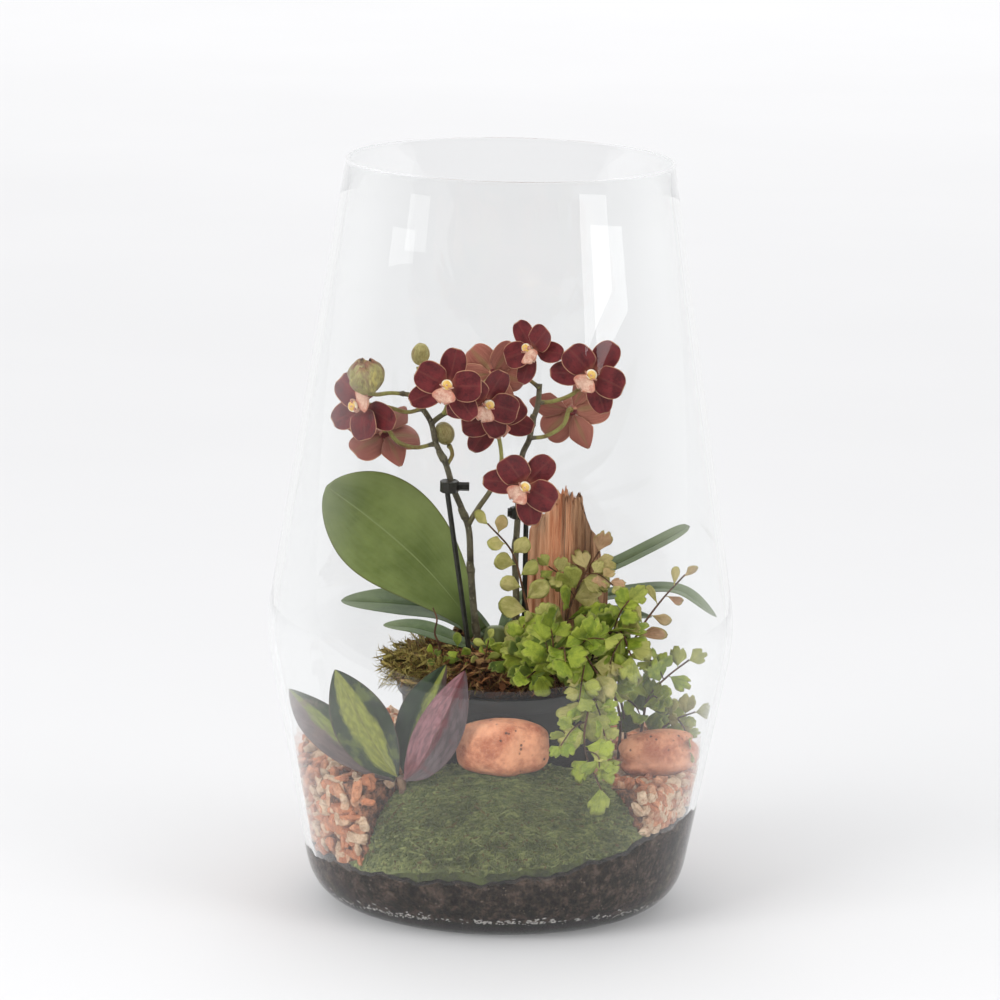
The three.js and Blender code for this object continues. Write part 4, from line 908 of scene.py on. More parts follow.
def make_stone(name, stone):
    bm = bmesh.new()
    bmesh.ops.create_icosphere(bm, subdivisions=5, radius=1)
    turn = math.radians(stone["turn"])
    ball = np.array([v.co for v in bm.verts])
    x, y, z = ball.T
    bulge = 1 + 0.06 * lumps(x * 9, y * 9 + z * 7, 4) + 0.022 * crumbs(x * 9, y * 9, z * 9, 2.2, 4)
    bulge -= stone["hollow"] * np.exp(-((x - 0.52) / 0.2) ** 2 - ((y + 0.75) / 0.5) ** 2)
    squared = np.sign(z) * np.abs(z) ** stone["flatten"]
    groove = stone["cleft"] * np.exp(-((z - 0.1 - 0.25 * x) / 0.16) ** 2)
    u, v, w = (x * (bulge - groove) * stone["half"][0], y * (bulge - groove) * stone["half"][1], squared
               * bulge * stone["half"][2])
    px, py, pz = u * math.cos(turn) - v * math.sin(turn), u * math.sin(turn) + v * math.cos(turn), w
    for vert, point in zip(bm.verts, np.stack([px, py, pz], axis=-1) + np.array(stone["centre"])):
        vert.co = point
    piece_of(name + "_rock", bm, "orange_stone", [name])


make_soil()
make_damp_specks()
make_moss()
make_chips("heap_left", math.radians(91), MOSS_FROM - 0.012, 21, CHIPS_IN_HEAP)
make_chips("heap_right", MOSS_TO + 0.012 - TURN, math.radians(89), 22, CHIPS_IN_HEAP)
for stone_name, stone_shape in STONES.items():
    make_stone(stone_name, stone_shape)


# Nursery pot, bark, moss cap and wood

def make_pot():
    low, high = POT_RIM - 6, POT_RIM
    lip = pot_radius(high) + RIM_LIP
    profile = [(0, POT_BASE), (POT_BASE_RADIUS - 1.4, POT_BASE), (POT_BASE_RADIUS - 0.3, POT_BASE + 0.5),
               (POT_BASE_RADIUS + 0.1, POT_BASE + 1.8),
               (pot_radius(low), low - 0.3), (pot_radius(low) + 0.2, low), (lip - 0.3, low),
               (lip, low + 0.4), (lip, high - 0.5), (lip - 0.4, high),
               (pot_radius(high) - 0.4, high), (pot_radius(high) - 0.7, high - 0.6),
               (POT_BASE_RADIUS - 1.2, POT_BASE + 1.6),
               (POT_BASE_RADIUS - 1.8, POT_BASE + 1.2), (0, POT_BASE + 1.2)]
    bm = bmesh.new()
    spun(bm, profile, 96, POT_AXIS)
    piece_of("pot_shell", bm, "pot_plastic", ["nursery_pot"])


def cap_edge(angle):
    return 44 + 2.5 * np.exp(-((np.mod(angle, TURN) - math.radians(190)) / 0.6) ** 2)


def cap_height(angle, share):
    x, y = 40 * share * np.cos(angle), 40 * share * np.sin(angle)
    dip = 1 - 0.55 * np.exp(-(share / 0.35) ** 2)
    left = np.exp(-((np.mod(angle, TURN) - math.radians(185)) / 0.7) ** 2)
    return 100 - 3.5 * left * share ** 3 + 9 * np.sqrt(np.clip(1 - share * share, 0,
                                                               1)) * dip + 1.2 * lumps(x, y, 3.4)


def make_cap():
    def top(share):
        def station(angle):
            radius = cap_edge(angle) * share
            x, y = radius * np.cos(angle), radius * np.sin(angle)
            return radius, cap_height(angle, share) + 0.7 * crumbs(x, y, 0 * x, 2.2, 2) * share - 1.3
        return station

    section = [level(0, CAP_UNDER), level(42, CAP_UNDER), level(42.4, CAP_LIP),
               lambda a: (cap_edge(a) - 1.6, CAP_LIP + 0 * a), lambda a: (cap_edge(a) - 0.8, 97.6 + 0 * a)]
    section += [top(s) for s in (0.985, 0.96, 0.92, 0.86, 0.78, 0.7, 0.6, 0.5, 0.4, 0.3, 0.2, 0.1, 0)]
    bm = bmesh.new()
    turned(bm, 160, section, POT_AXIS)
    piece_of("sphagnum_base", bm, "old_sphagnum", ["sphagnum_cap"])

    draw = np.random.default_rng(9)
    count = STRANDS
    angle = draw.uniform(0, TURN, count)
    front = draw.uniform(0, 1, count) < 0.45
    angle = np.where(front, draw.uniform(math.radians(170), math.radians(350), count), angle)
    share = draw.uniform(0.15, 1.0, count) ** 0.6
    radius = cap_edge(angle) * share
    root = polar(radius, angle, cap_height(angle, share) - 0.8, POT_AXIS)
    heading = draw.uniform(0, TURN, count)
    bend = draw.normal(0, 2.8, count)
    length = draw.uniform(4, 13, count)
    arch = draw.uniform(0.4, 4.2, count)
    droop = np.clip((share - 0.82) / 0.18, 0, 1) * draw.uniform(0, 5, count)
    thick = draw.uniform(0.1, 0.22, count)
    wiggle = draw.uniform(0, TURN, count)

    def placing(base):
        t = base[:, 2][None]
        way = heading[:, None] + bend[:, None] * t
        x = length[:, None] * (np.sin(way) - np.sin(heading)[:, None]) / np.where(np.abs(bend) < 0.05,
                0.05, bend)[:, None]
        y = length[:, None] * (np.cos(heading)[:, None] - np.cos(way)) / np.where(np.abs(bend) < 0.05,
                0.05, bend)[:, None]
        x, y = np.clip(x, -14, 14), np.clip(y, -14, 14)
        z = arch[:, None] * np.sin(np.pi * t) + 0.5 * np.sin(9 * t + wiggle[:, None]) - droop[:, None] * t * t
        place = root[:, None] + np.stack([x, y, z], axis=-1)
        dx, dy = place[..., 0] - POT_AXIS[0], place[..., 1] - POT_AXIS[1]
        out = np.hypot(dx, dy) / cap_edge(np.arctan2(dy, dx))
        shrink = np.minimum(1, 1.07 / np.maximum(out, 1e-6))
        place[..., 0], place[..., 1] = POT_AXIS[0] + dx * shrink, POT_AXIS[1] + dy * shrink
        floor = cap_height(np.arctan2(dy, dx), np.minimum(out, 0.99)) - 1.6
        place[..., 2] = np.where(out < 0.97, np.maximum(place[..., 2], floor), place[..., 2])
        aside = np.stack([-np.sin(way), np.cos(way), 0 * way], axis=-1)
        place += aside * (base[:, 0][None] * thick[:, None])[..., None]
        place[..., 2] += base[:, 1][None] * thick[:, None]
        return place

    strand = bmesh.new()
    stem(strand, UPRIGHT, lambda s, t: 1 - 0.6 * t, 3, 4)
    shade = draw.uniform(0, 1, count)
    left = (root[:, 0] < -30) & (draw.uniform(0, 1, count) < 0.35)
    shade = np.where(left, draw.uniform(0.78, 1, count), shade)
    sown("sphagnum_strands", strand, count, placing, "sphagnum_strands", "old_sphagnum", True, shade)
    make_feather_moss()


def make_feather_moss():
    """Sprigs of feather moss: a thin stem with side twigs, standing out at the left edge of the cap."""
    sprig = bmesh.new()
    stem(sprig, [(0, 0, 0), (0, 0.04, 0.5), (0, 0.16, 1)], lambda s, t: 0.02 * (1 - 0.6 * t), 3, 3)
    for k in range(11):
        z, side = 0.16 + 0.075 * k, 1 if k % 2 else -1
        reach = 0.36 * (1 - 0.6 * k / 11)
        y = 0.16 * z * z
        stem(sprig, [(0, y, z), (side * reach * 0.5, y + 0.03, z + 0.1),
                     (side * reach, y, z + 0.3 * reach + 0.12)], lambda s, t: 0.016 * (1 - 0.8 * t), 3, 2)
    draw = np.random.default_rng(31)
    count = SPRIGS
    angle = draw.uniform(math.radians(155), math.radians(240), count)
    share = draw.uniform(0.7, 1.02, count)
    radius = cap_edge(angle) * share
    height = np.where(share < 1, cap_height(angle, np.minimum(share, 0.99)), 98.5) - draw.uniform(0.2,
            3.2, count)
    root = polar(radius, angle, height, POT_AXIS)
    out = polar(1, angle, 0 * angle)
    way = unit(out + np.array([0, 0, 1.0]) * draw.uniform(-0.5, 1.1, count)[:, None] + draw.normal(0,
            0.35, (count, 3)))
    side = unit(np.cross(way, draw.normal(0, 1, (count, 3))))
    front = np.cross(way, side)
    length = draw.uniform(6, 13, count)

    def placing(base):
        local = base[None] * length[:, None, None]
        return (root[:, None] + side[:, None] * local[..., :1] + front[:, None] * local[..., 1:2]
                + way[:, None] * local[..., 2:])

    sown("feather_moss", sprig, count, placing, "sphagnum_strands", "old_sphagnum", True,
         draw.uniform(0.8, 1, count))


WOOD_AXIS, WOOD_HALF = (28.4, 5.6), (16.2, 6)
WOOD_FOOT, WOOD_WIDEST = 84, 135
WOOD_TOP = [(12, 163), (18, 171), (25, 178.5), (31, 175), (34, 177), (39, 163), (42, 160), (45, 147)]


def make_wood():
    def edge(angle):
        wide = np.hypot(np.cos(angle) / WOOD_HALF[0], np.sin(angle) / WOOD_HALF[1])
        return 1 / wide * (1 + 0.07 * np.sin(9 * angle) + 0.04 * np.sin(17 * angle + 1) + 0.03
                           * np.sin(31 * angle + 2) + 0.02 * np.sin(53 * angle))

    def top(angle):
        x = WOOD_AXIS[0] + edge(angle) * np.cos(angle)
        return np.interp(x, [p[0] for p in WOOD_TOP], [p[1] for p in WOOD_TOP]) + 1.5 * np.sin(11
                * angle) + 0.8 * np.sin(37 * angle)

    def station(share):
        def at(angle):
            radius, high = edge(angle), top(angle)
            taper = np.where(WOOD_AXIS[0] + radius * np.cos(angle) < WOOD_AXIS[0], 0.97, 0.9)
            height = lerp(WOOD_FOOT, high - 3, share)
            size = np.interp(height, [WOOD_FOOT, 112, WOOD_WIDEST], [0.82, 0.96, 1.0])
            above = np.clip((height - WOOD_WIDEST) / np.maximum(high - 3 - WOOD_WIDEST, 1), 0, 1)
            size = np.where(height > WOOD_WIDEST, lerp(1.0, taper, above), size)
            fray = 0.012 * np.sin(29 * angle + 0.06 * height) + 0.01 * np.sin(0.21 * height + 13 * angle)
            return radius * (size + fray), height
        return at

    def crest(share):
        def at(angle):
            taper = np.where(WOOD_AXIS[0] + edge(angle) * np.cos(angle) < WOOD_AXIS[0], 0.97, 0.9)
            rough = 1.6 * np.sin(23 * angle + 9 * share) * share
            return edge(angle) * taper * lerp(1, 0.8, share ** 2), lerp(top(angle) - 3, top(angle),
                    share) + rough * 0.4
        return at

    def hollow(share):
        def at(angle):
            radius = edge(angle) * 0.76 * (1 - share)
            ragged = 2.2 * crumbs(radius * np.cos(angle) * 3, radius * np.sin(angle) * 3, 0 * angle, 3)
            return radius, lerp(top(angle) - 0.8, 172.0, share ** 0.7) + ragged * (1 - share)
        return at

    section = [level(0, WOOD_FOOT)] + [station(k / 26) for k in range(27)] + [crest(0.4), crest(0.8),
            crest(1.0)]
    section += [hollow(k / 6) for k in range(7)]
    bm = bmesh.new()
    turned(bm, 200, section, WOOD_AXIS)
    piece_of("split_log", bm, "split_wood", ["wood_piece"])


make_pot()
make_cap()
make_wood()
wear_cad = {"potting_bark": "potting_bark", "stake_left": "black_plastic",
            "stake_right": "black_plastic", "clip_left": "black_plastic", "clip_right": "black_plastic"}
for node_name, finish_name in wear_cad.items():
    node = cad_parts[node_name]
    node.data.materials.clear()
    node.data.materials.append(FINISHES[finish_name])

# Finishes of the plants

def lie_of(b):
    """Across, along and underside of the leaf or petal that a point is on."""
    lay = b.put("ShaderNodeUVMap", uv_map="UVMap").outputs[0]
    return b.use("leaf_lay", {"Lay": lay})


def orchid_leaf(b):
    lie = lie_of(b)
    veins = b.use("leaf_veins", {"Across": lie["Across"], "Along": lie["Along"], "Count": 16.0,
                                 "Midrib": 0.03})
    tone, mask = patches(b, 26, (88, 102, 44), (122, 136, 72), 0.3, 0.7)
    tone = b.mix(b.fade(veins["Veins"], 0.4, 0.62, 0.0, 0.09), tone, colour(134, 150, 100))
    # Darker towards the root and lighter along the upper edge: painted shade and a painted sheen.
    tone = b.mix(b.fade(lie["Along"], 0.0, 0.5, 0.45, 0.0), tone, colour(54, 76, 20))
    tone = b.mix(b.fade(lie["Across"], 0.2, 0.95, 0.0, 0.35), tone, colour(140, 152, 92))
    tone = b.tint(tone, veins["Middle"], 0.5, (146, 158, 106))
    # Darker still where the leaf meets the crown: painted shade.
    root = b.fade(lie["Along"], 0.0, 0.22, 1.0, 0.0)
    tone = b.tint(tone, root, 0.65, (48, 62, 28))
    edge = b.fade(b.sum("ABSOLUTE", lie["Across"]), 0.955, 0.995)
    tone = b.tint(tone, edge, 0.5, (84, 74, 46))
    tone = b.tint(tone, lie["Under"], 0.45, (104, 108, 74))
    height = b.minus(b.times(veins["Veins"], 0.25), veins["Middle"])
    return look(tone, height, 0.0003, 0.35, b.fade(mask, 0, 1, 0.34, 0.48))


def strap_leaf(b):
    lie = lie_of(b)
    veins = b.use("leaf_veins", {"Across": lie["Across"], "Along": lie["Along"], "Count": 12.0,
                                 "Midrib": 0.09})
    tone, mask = patches(b, 40, (62, 82, 46), (106, 122, 84), 0.32, 0.68)
    tone = b.tint(tone, veins["Middle"], 0.5, (58, 76, 40))
    tip = b.fade(lie["Along"], 0.55, 1.0)
    tone = b.tint(tone, tip, 0.4, (138, 146, 118))
    tone = b.tint(tone, lie["Under"], 0.4, (96, 98, 70))
    return look(tone, b.minus(b.times(veins["Veins"], 0.3), veins["Middle"]), 0.0004, 0.5,
                b.fade(mask, 0, 1, 0.34, 0.5))


def spike_stem(b):
    young = b.mark("shade")
    old, mask = patches(b, 150, (66, 60, 46), (108, 101, 80), 0.35, 0.65)
    dots = b.dots(760, 0.12, 0.24, (1, 1, 0.5))
    old = b.tint(old, dots, 0.75, (146, 142, 118))
    fresh, _ = patches(b, 210, (126, 104, 62), (150, 152, 84), 0.35, 0.65)
    tone = b.mix(b.fade(young, 0.2, 0.8), old, fresh)
    return look(tone, b.speckle(900, 2), 0.0002, 0.4, b.fade(mask, 0, 1, 0.45, 0.62))


def maroon_petal(b):
    lie = lie_of(b)
    across = b.sum("ABSOLUTE", lie["Across"])
    fan = b.joined(b.times(lie["Across"], 8.0), b.times(lie["Along"], 1.3), b.mark("shade"))
    veins = b.noise(fan, 1.6, 3, 0.6)
    tone, mask = patches(b, 240, (82, 20, 26), (124, 38, 42), 0.34, 0.66)
    tone = b.mix(b.fade(veins, 0.52, 0.68, 0.0, 0.4), tone, colour(62, 16, 24))
    middle = b.fade(across, 0.0, 0.12, 0.35, 0.0)
    tone = b.mix(middle, tone, colour(134, 66, 58))
    foot = b.fade(lie["Along"], 0.05, 0.24, 1.0, 0.0)
    tone = b.tint(tone, foot, 0.6, (156, 92, 66))
    back = b.mix(b.fade(veins, 0.3, 0.7), colour(154, 94, 80), colour(180, 118, 98))
    back = b.mix(b.fade(across, 0.0, 0.3, 0.7, 0.0), back, colour(148, 126, 84))
    back = b.mix(b.fade(lie["Along"], 0.2, 1.0, 0.0, 0.4), back, colour(152, 78, 68))
    back = b.mix(b.fade(b.mark("shade"), 0.2, 1.0, 0.0, 0.45), back, colour(104, 50, 46))
    tone = b.mix(lie["Under"], tone, back)
    ragged = b.plus(across, b.times(veins, 0.05))
    rim = b.sum("MAXIMUM", b.fade(ragged, 0.968, 0.998), b.fade(lie["Along"], 0.965, 0.985))
    tone = b.tint(tone, rim, 0.8, (198, 146, 112))
    return look(tone, b.plus(veins, b.times(mask, 0.4)), 0.0003, 0.5, b.fade(mask, 0, 1, 0.46, 0.6))


def pale_lip(b):
    part = b.mark("shade")
    lie = lie_of(b)
    tone, mask = patches(b, 420, (204, 152, 134), (232, 196, 172), 0.36, 0.64)
    blush = b.fade(b.speckle(260, 3), 0.5, 0.64)
    tone = b.tint(tone, blush, 0.5, (186, 92, 74))
    edge = b.fade(b.sum("ABSOLUTE", lie["Across"]), 0.7, 0.97, 0.0, 0.6)
    tone = b.mix(edge, tone, colour(190, 100, 74))
    spots = b.fade(b.cells(900), 0.2, 0.4, 0.75, 0.0)
    tone = b.mix(b.times(spots, b.fade(part, 0.3, 0.4)), tone, colour(128, 44, 44))
    cream = b.mix(b.fade(b.speckle(500, 2), 0.4, 0.6), colour(226, 206, 172), colour(244, 234, 214))
    tone = b.mix(b.sum("GREATER_THAN", part, 0.7), tone, cream)
    tone = b.mix(b.sum("GREATER_THAN", part, 0.9), tone,
                 b.mix(b.fade(mask, 0, 1), colour(222, 176, 84), colour(236, 200, 120)))
    return look(tone, b.speckle(1200, 2), 0.0002, 0.4, b.fade(mask, 0, 1, 0.42, 0.58))


def bud_green(b):
    lie = lie_of(b)
    tone, mask = patches(b, 150, (134, 126, 74), (182, 174, 116), 0.34, 0.66)
    lines = b.joined(b.times(lie["Across"], 9.0), b.times(lie["Along"], 1.6), lie["Under"])
    stripes = b.noise(lines, 1.7, 3, 0.6)
    tone = b.mix(b.fade(stripes, 0.5, 0.62, 0.0, 0.6), tone, colour(118, 78, 50))
    crumple = b.noise(b.place((1, 1, 0.6)), 150, 4, 0.6, 0.6)
    # Brown patches on the crumpled sepals: painted shade in the creases. The yellow patches are the sepals'
    # own colour.
    tone = b.mix(b.times(b.fade(crumple, 0.42, 0.52, 0.8, 0.0), b.mark("shade")), tone, colour(136, 112, 86))
    tone = b.mix(b.times(b.fade(crumple, 0.56, 0.64, 0.0, 0.7), b.mark("shade")), tone, colour(200, 186, 108))
    flush = b.times(b.fade(lie["Along"], 0.78, 1.0), b.mark("shade"))
    tone = b.tint(tone, flush, 0.7, (134, 64, 50))
    return look(tone, stripes, 0.0004, 0.5, b.fade(mask, 0, 1, 0.42, 0.6))


def fern_green(b):
    lie = lie_of(b)
    age = b.mark("shade")
    ribs = b.joined(b.times(lie["Across"], 13.0), lie["Along"], age)
    ribs = b.noise(ribs, 1.3, 2, 0.5)
    deep, mask = patches(b, 90, (54, 72, 14), (98, 114, 30), 0.34, 0.66)
    fresh = b.mix(b.fade(mask, 0, 1), colour(110, 130, 30), colour(158, 170, 56))
    pale = b.mix(b.fade(mask, 0, 1), colour(154, 148, 78), colour(186, 174, 112))
    rusty = b.mix(b.fade(mask, 0, 1), colour(160, 118, 84), colour(190, 152, 118))
    fresh = b.mix(b.fade(age, 0.02, 0.24), deep, fresh)
    tone = b.mix(b.fade(age, 0.32, 0.6), fresh, pale)
    tone = b.mix(b.fade(age, 0.74, 0.95), tone, rusty)
    tone = b.mix(b.fade(ribs, 0.5, 0.66, 0.0, 0.28), tone, colour(66, 84, 20))
    rim = b.fade(lie["Along"], 0.86, 0.98)
    tone = b.tint(tone, rim, 0.45, (172, 174, 86))
    return look(tone, ribs, 0.0003, 0.5, b.fade(mask, 0, 1, 0.5, 0.66))


def fern_stem(b):
    tone, mask = patches(b, 150, (58, 36, 22), (108, 70, 44), 0.35, 0.65)
    return look(tone, b.speckle(900, 2), 0.0001)


def wax_leaf_finish(edge_left, middle, edge_right, band, blotch, amount=0.6):
    """A wax leaf: two margins and a middle band, whose soft borders wander along the leaf."""
    def lay_out(b):
        lie = lie_of(b)
        run = b.joined(b.times(lie["Across"], 2.6), b.times(lie["Along"], 4.0))
        broad = b.minus(b.noise(run, 1.0, 5, 0.7), 0.5)
        where = b.plus(lie["Across"], b.times(broad, 0.9))
        left = b.mix(b.fade(b.noise(run, 2.0, 4, 0.6), 0.36, 0.64), colour(*edge_left),
                     colour(*[c * 0.72 for c in edge_left]))
        right = b.mix(b.fade(b.noise(run, 2.3, 4, 0.6), 0.36, 0.64), colour(*edge_right),
                      colour(*[c * 0.72 for c in edge_right]))
        inner = b.mix(b.fade(b.noise(run, 3.1, 4, 0.6), 0.4, 0.6), colour(*middle),
                      colour(*[c * 0.84 for c in middle]))
        tone = b.mix(b.fade(where, band[0] - 0.12, band[0] + 0.1), left, inner)
        tone = b.mix(b.fade(where, band[1] - 0.1, band[1] + 0.12), tone, right)
        mask = b.speckle(95, 4, 0.6)
        tone = b.mix(b.fade(mask, 0.54, 0.66, 0.0, amount), tone, colour(*blotch))
        line = b.fade(b.sum("ABSOLUTE", lie["Across"]), 0.0, 0.05, 0.35, 0.0)
        tone = b.mix(line, tone, colour(92, 72, 60))
        rim = b.fade(b.sum("ABSOLUTE", lie["Across"]), 0.94, 0.99, 0.0, 0.5)
        tone = b.mix(rim, tone, colour(92, 66, 62))
        return look(tone, b.speckle(200, 3), 0.0006, 0.4, b.fade(mask, 0.3, 0.7, 0.28, 0.42))
    return lay_out


def wax_stem_finish(b):
    tone, mask = patches(b, 90, (92, 66, 54), (138, 110, 86))
    return look(tone, mask, 0.0003)


finishes({orchid_leaf: 0.4, strap_leaf: 0.4, spike_stem: 0.55})
finishes({maroon_petal: 0.5}, Sheen_Weight=0.15)
finishes({pale_lip: 0.5, bud_green: 0.5, fern_green: 0.55, fern_stem: 0.5, wax_stem_finish: 0.5})


# Orchid leaves and crown

def bulge(v, lean, full):
    return np.maximum(np.sin(np.pi * np.clip(v, 0, 1) ** lean), 0) ** full


def strap(v):
    return np.maximum(np.where(v < 0.5, 0.16, 0.03), bulge(0.1 + 0.9 * v, 1.2, 0.55))


def blunt_strap(v):
    return lerp(0.5, 0.72, np.clip(v * 1.6, 0, 1)) * np.sqrt(np.maximum(1 - v ** 26, 0.004))


def obovate(v):
    return np.maximum(np.where(v < 0.5, 0.17, 0.02), bulge(v, 1.25, 0.62) * (0.55 + 0.45 * v))


def oval(v):
    return np.maximum(np.where(v < 0.5, 0.12, 0.02), bulge(v, 0.95, 0.8))


def leaf_surface(route, faces, half_width, shape, fold, channel=0.5, ripple=0.0):
    """Points of a leaf on its midrib: its sides rise by fold, with a channel down the middle."""
    line, face = Line(route), unit(np.array(faces))

    def surface(u, v):
        v = np.clip(v, 0, 1)
        middle, ahead = line.at(v), line.ahead(v)
        aside = unit(np.cross(ahead, face))
        up = unit(np.cross(aside, ahead))
        width = half_width * shape(v)
        rise = fold * width * u * u - channel * np.exp(-(u * width / 1.1) ** 2) * np.minimum(1, (1 - v) * 9)
        rise = rise + ripple * u * u * np.sin(17 * v + 2 * u)
        return middle + aside * (u * width)[:, None] + up * rise[:, None]

    return surface


ORCHID_LEAVES = {
    "orchid_leaf_large": ([[-9.7, 2.2, 115.5], [-21, 5.5, 130], [-37, 11, 146], [-57, 15, 162],
                           [-77, 17, 176]], [0.1, -0.94, 0.32], 27.5),
    "orchid_leaf_left": ([[-6.2, 6.5, 114], [-22, 16.6, 121.6], [-45, 22, 123.5], [-70, 26, 123.5]],
                         [0, -0.35, 0.93], 11),
    "orchid_leaf_low_left": ([[-8.3, 0.2, 108], [-21, -3.3, 114], [-36, -3, 118.5], [-50.5, -3, 119.5]],
                             [0, -0.3, 0.95], 6.6),
    "orchid_leaf_high_right": ([[1.6, 6, 115.5], [5.5, 15, 124.5], [16, 24, 131.5], [45, 29, 139.5],
                                [66, 32, 149.5], [82.5, 33, 158.5]],
                               [-0.3, -0.38, 0.88], 7),
    "orchid_leaf_right": ([[2.5, 6.6, 111], [7.5, 17, 115], [24, 27, 121], [50, 25, 129],
                           [77, 16, 133.5], [93.6, 5, 124.5]],
                          [0.08, -0.2, 0.97], 7),
    "orchid_leaf_low_right": ([[2.9, 6.2, 107], [8, 17, 109.5], [24, 26, 113.5], [48, 27, 120],
                               [66, 24, 119.5]], [0, -0.25, 0.96], 7.5),
}


def make_orchid_leaves():
    for name, (route, faces, half_width) in ORCHID_LEAVES.items():
        broad = name == "orchid_leaf_large"
        shape = obovate if broad else blunt_strap if name == "orchid_leaf_high_right" else strap
        fold, channel = (0.16, 0.55) if broad else (0.15, 0.8)
        surface = leaf_surface(route, faces, half_width, shape, fold, channel)
        bm = bmesh.new()
        thin(bm, surface, 72 if broad else 48, 72, lambda u, v: 1.5 - 0.5 * v)
        look_of_leaf = "orchid_leaf" if broad else "strap_leaf"
        piece_of(name.replace("orchid_leaf", "leaf_blade"), bm, look_of_leaf, [name], "orchid_leaf")


def make_crown():
    def station(radius, height):
        def at(angle):
            uneven = 1 + 0.07 * np.cos(2 * angle + 0.05 * height) + 0.03 * np.sin(9 * angle)
            return radius * uneven, height + 0 * angle
        return at

    bm = bmesh.new()
    heights = [(0, 82), (4.2, 82), (4.8, 88), (4.7, 91.8), (5.1, 92.4), (5.4, 98), (5.1, 102.6),
               (5.5, 103.2), (5.5, 109), (5.0, 112.4), (5.2, 113), (4.2, 117.5), (3, 118.8), (0, 119)]
    turned(bm, 64, [station(r, z) for r, z in heights], (-2, 2))
    piece_of("crown_sheaths", bm, "orchid_leaf", ["orchid_crown"])


# Blooms

SEPAL = dict(length=17.5, width=12.6, lift=0, curl=1.4, blunt=2.1)
LATERAL = dict(length=19, width=12, lift=0, curl=0.6, blunt=1.9)
PETAL = dict(length=15.5, width=15, lift=2.2, curl=1.6, blunt=2.3)
TEPALS = [(SEPAL, 0), (LATERAL, 128), (LATERAL, -128), (PETAL, 76), (PETAL, -76)]
HUB_RADIUS, HUB_DEPTH, STALK_STRAIGHT = 2.4, 1.5, 5

BLOOMS = {
    "bloom_left_front": ([-60.2, -9, 216.6], [-0.55, -0.82, 0.12], 205, 1),
    "bloom_left_back": ([-51.5, 1, 202.5], [-0.15, 0.6, -0.78], -80, 1.05),
    "bloom_centre": ([-24, -37, 230.8], [-0.12, -0.98, 0.06], 78, 0.95),
    "bloom_centre_right": ([-8.4, -22, 221.2], [0.2, -0.96, -0.15], 62, 0.92),
    "bloom_centre_back": ([-5.5, 7, 228.6], [0.05, 0.98, 0.12], 59, 0.92),
    "bloom_centre_low": ([-4.6, -11, 212.6], [0.12, -0.96, -0.2], 112, 0.95),
    "bloom_low": ([9.2, -27, 187.3], [-0.14, -0.97, -0.1], 48, 0.98),
    "bloom_right_top": ([11.2, -6, 241.3], [-0.5, -0.84, 0.15], 130, 0.82),
    "bloom_right": ([36.5, -14, 233.4], [-0.18, -0.97, -0.08], 55, 0.98),
    "bloom_right_back": ([28.5, 6, 213.4], [0.25, 0.9, -0.3], -62, 1.05),
}


def bloom_frame(bloom):
    """Right, up and front of a bloom as the columns of a turn, and its middle."""
    at, faces, top, _ = bloom
    front = unit(np.array(faces, float))
    up = np.array([math.cos(math.radians(top)), 0, math.sin(math.radians(top))])
    up = unit(up - front * np.dot(up, front))
    return np.stack([np.cross(up, front), up, front], axis=1), np.array(at, float)


def behind(bloom):
    front = unit(np.array(bloom[1], float))
    return [list(np.array(bloom[0]) - front * d) for d in (STALK_STRAIGHT, HUB_DEPTH * bloom[3] + 0.36)]


def shaded_body():
    bm = bmesh.new()
    bm.verts.layers.float.new("shade")
    return bm


def set_shade(bm, start, value):
    """Writes a value from 0 to 1 on the corners made since start, for the finish to read."""
    layer = bm.verts.layers.float["shade"]
    bm.verts.ensure_lookup_table()
    for vert in bm.verts[start:]:
        vert[layer] = value


def tepal_surface(kind, size, draw, pointed):
    sharp = pointed and kind is not PETAL
    blunt, broad = (1.2, 0.86) if sharp else (kind["blunt"], 0.95)
    wave, lean, twist = draw.uniform(0, TURN), draw.uniform(-0.8, 0.8), draw.uniform(-0.10, 0.10)

    def surface(u, v):
        claw = np.clip(0.3 + (v - 0.07) / 0.25, 0, 1)
        round_tip = np.maximum(1 - np.abs(2 * v ** 1.2 - 1) ** blunt, 0) ** (1 / blunt)
        half = broad * kind["width"] / 2 * size * np.maximum(claw * round_tip, 0.02)
        rise = kind["lift"] * np.minimum(1, v / 0.28) + kind["curl"] * v * v - 0.14 * half * (1 - u * u)
        rise = rise + 0.32 * u * u * np.sin(8 * v + wave) + 0.28 * np.exp(-(u / 0.16) ** 2) * (1
                - v) + twist * half * u * v
        return np.stack([u * half + 0.35 * lean * v * v, kind["length"] * size * v, rise], axis=-1)

    return surface


def about(turn, degrees):
    """A bloom's turn with one tepal's own turn about the bloom's front added."""
    a = math.radians(degrees)
    return turn @ np.array([[math.cos(a), -math.sin(a), 0], [math.sin(a), math.cos(a), 0], [0, 0, 1]])


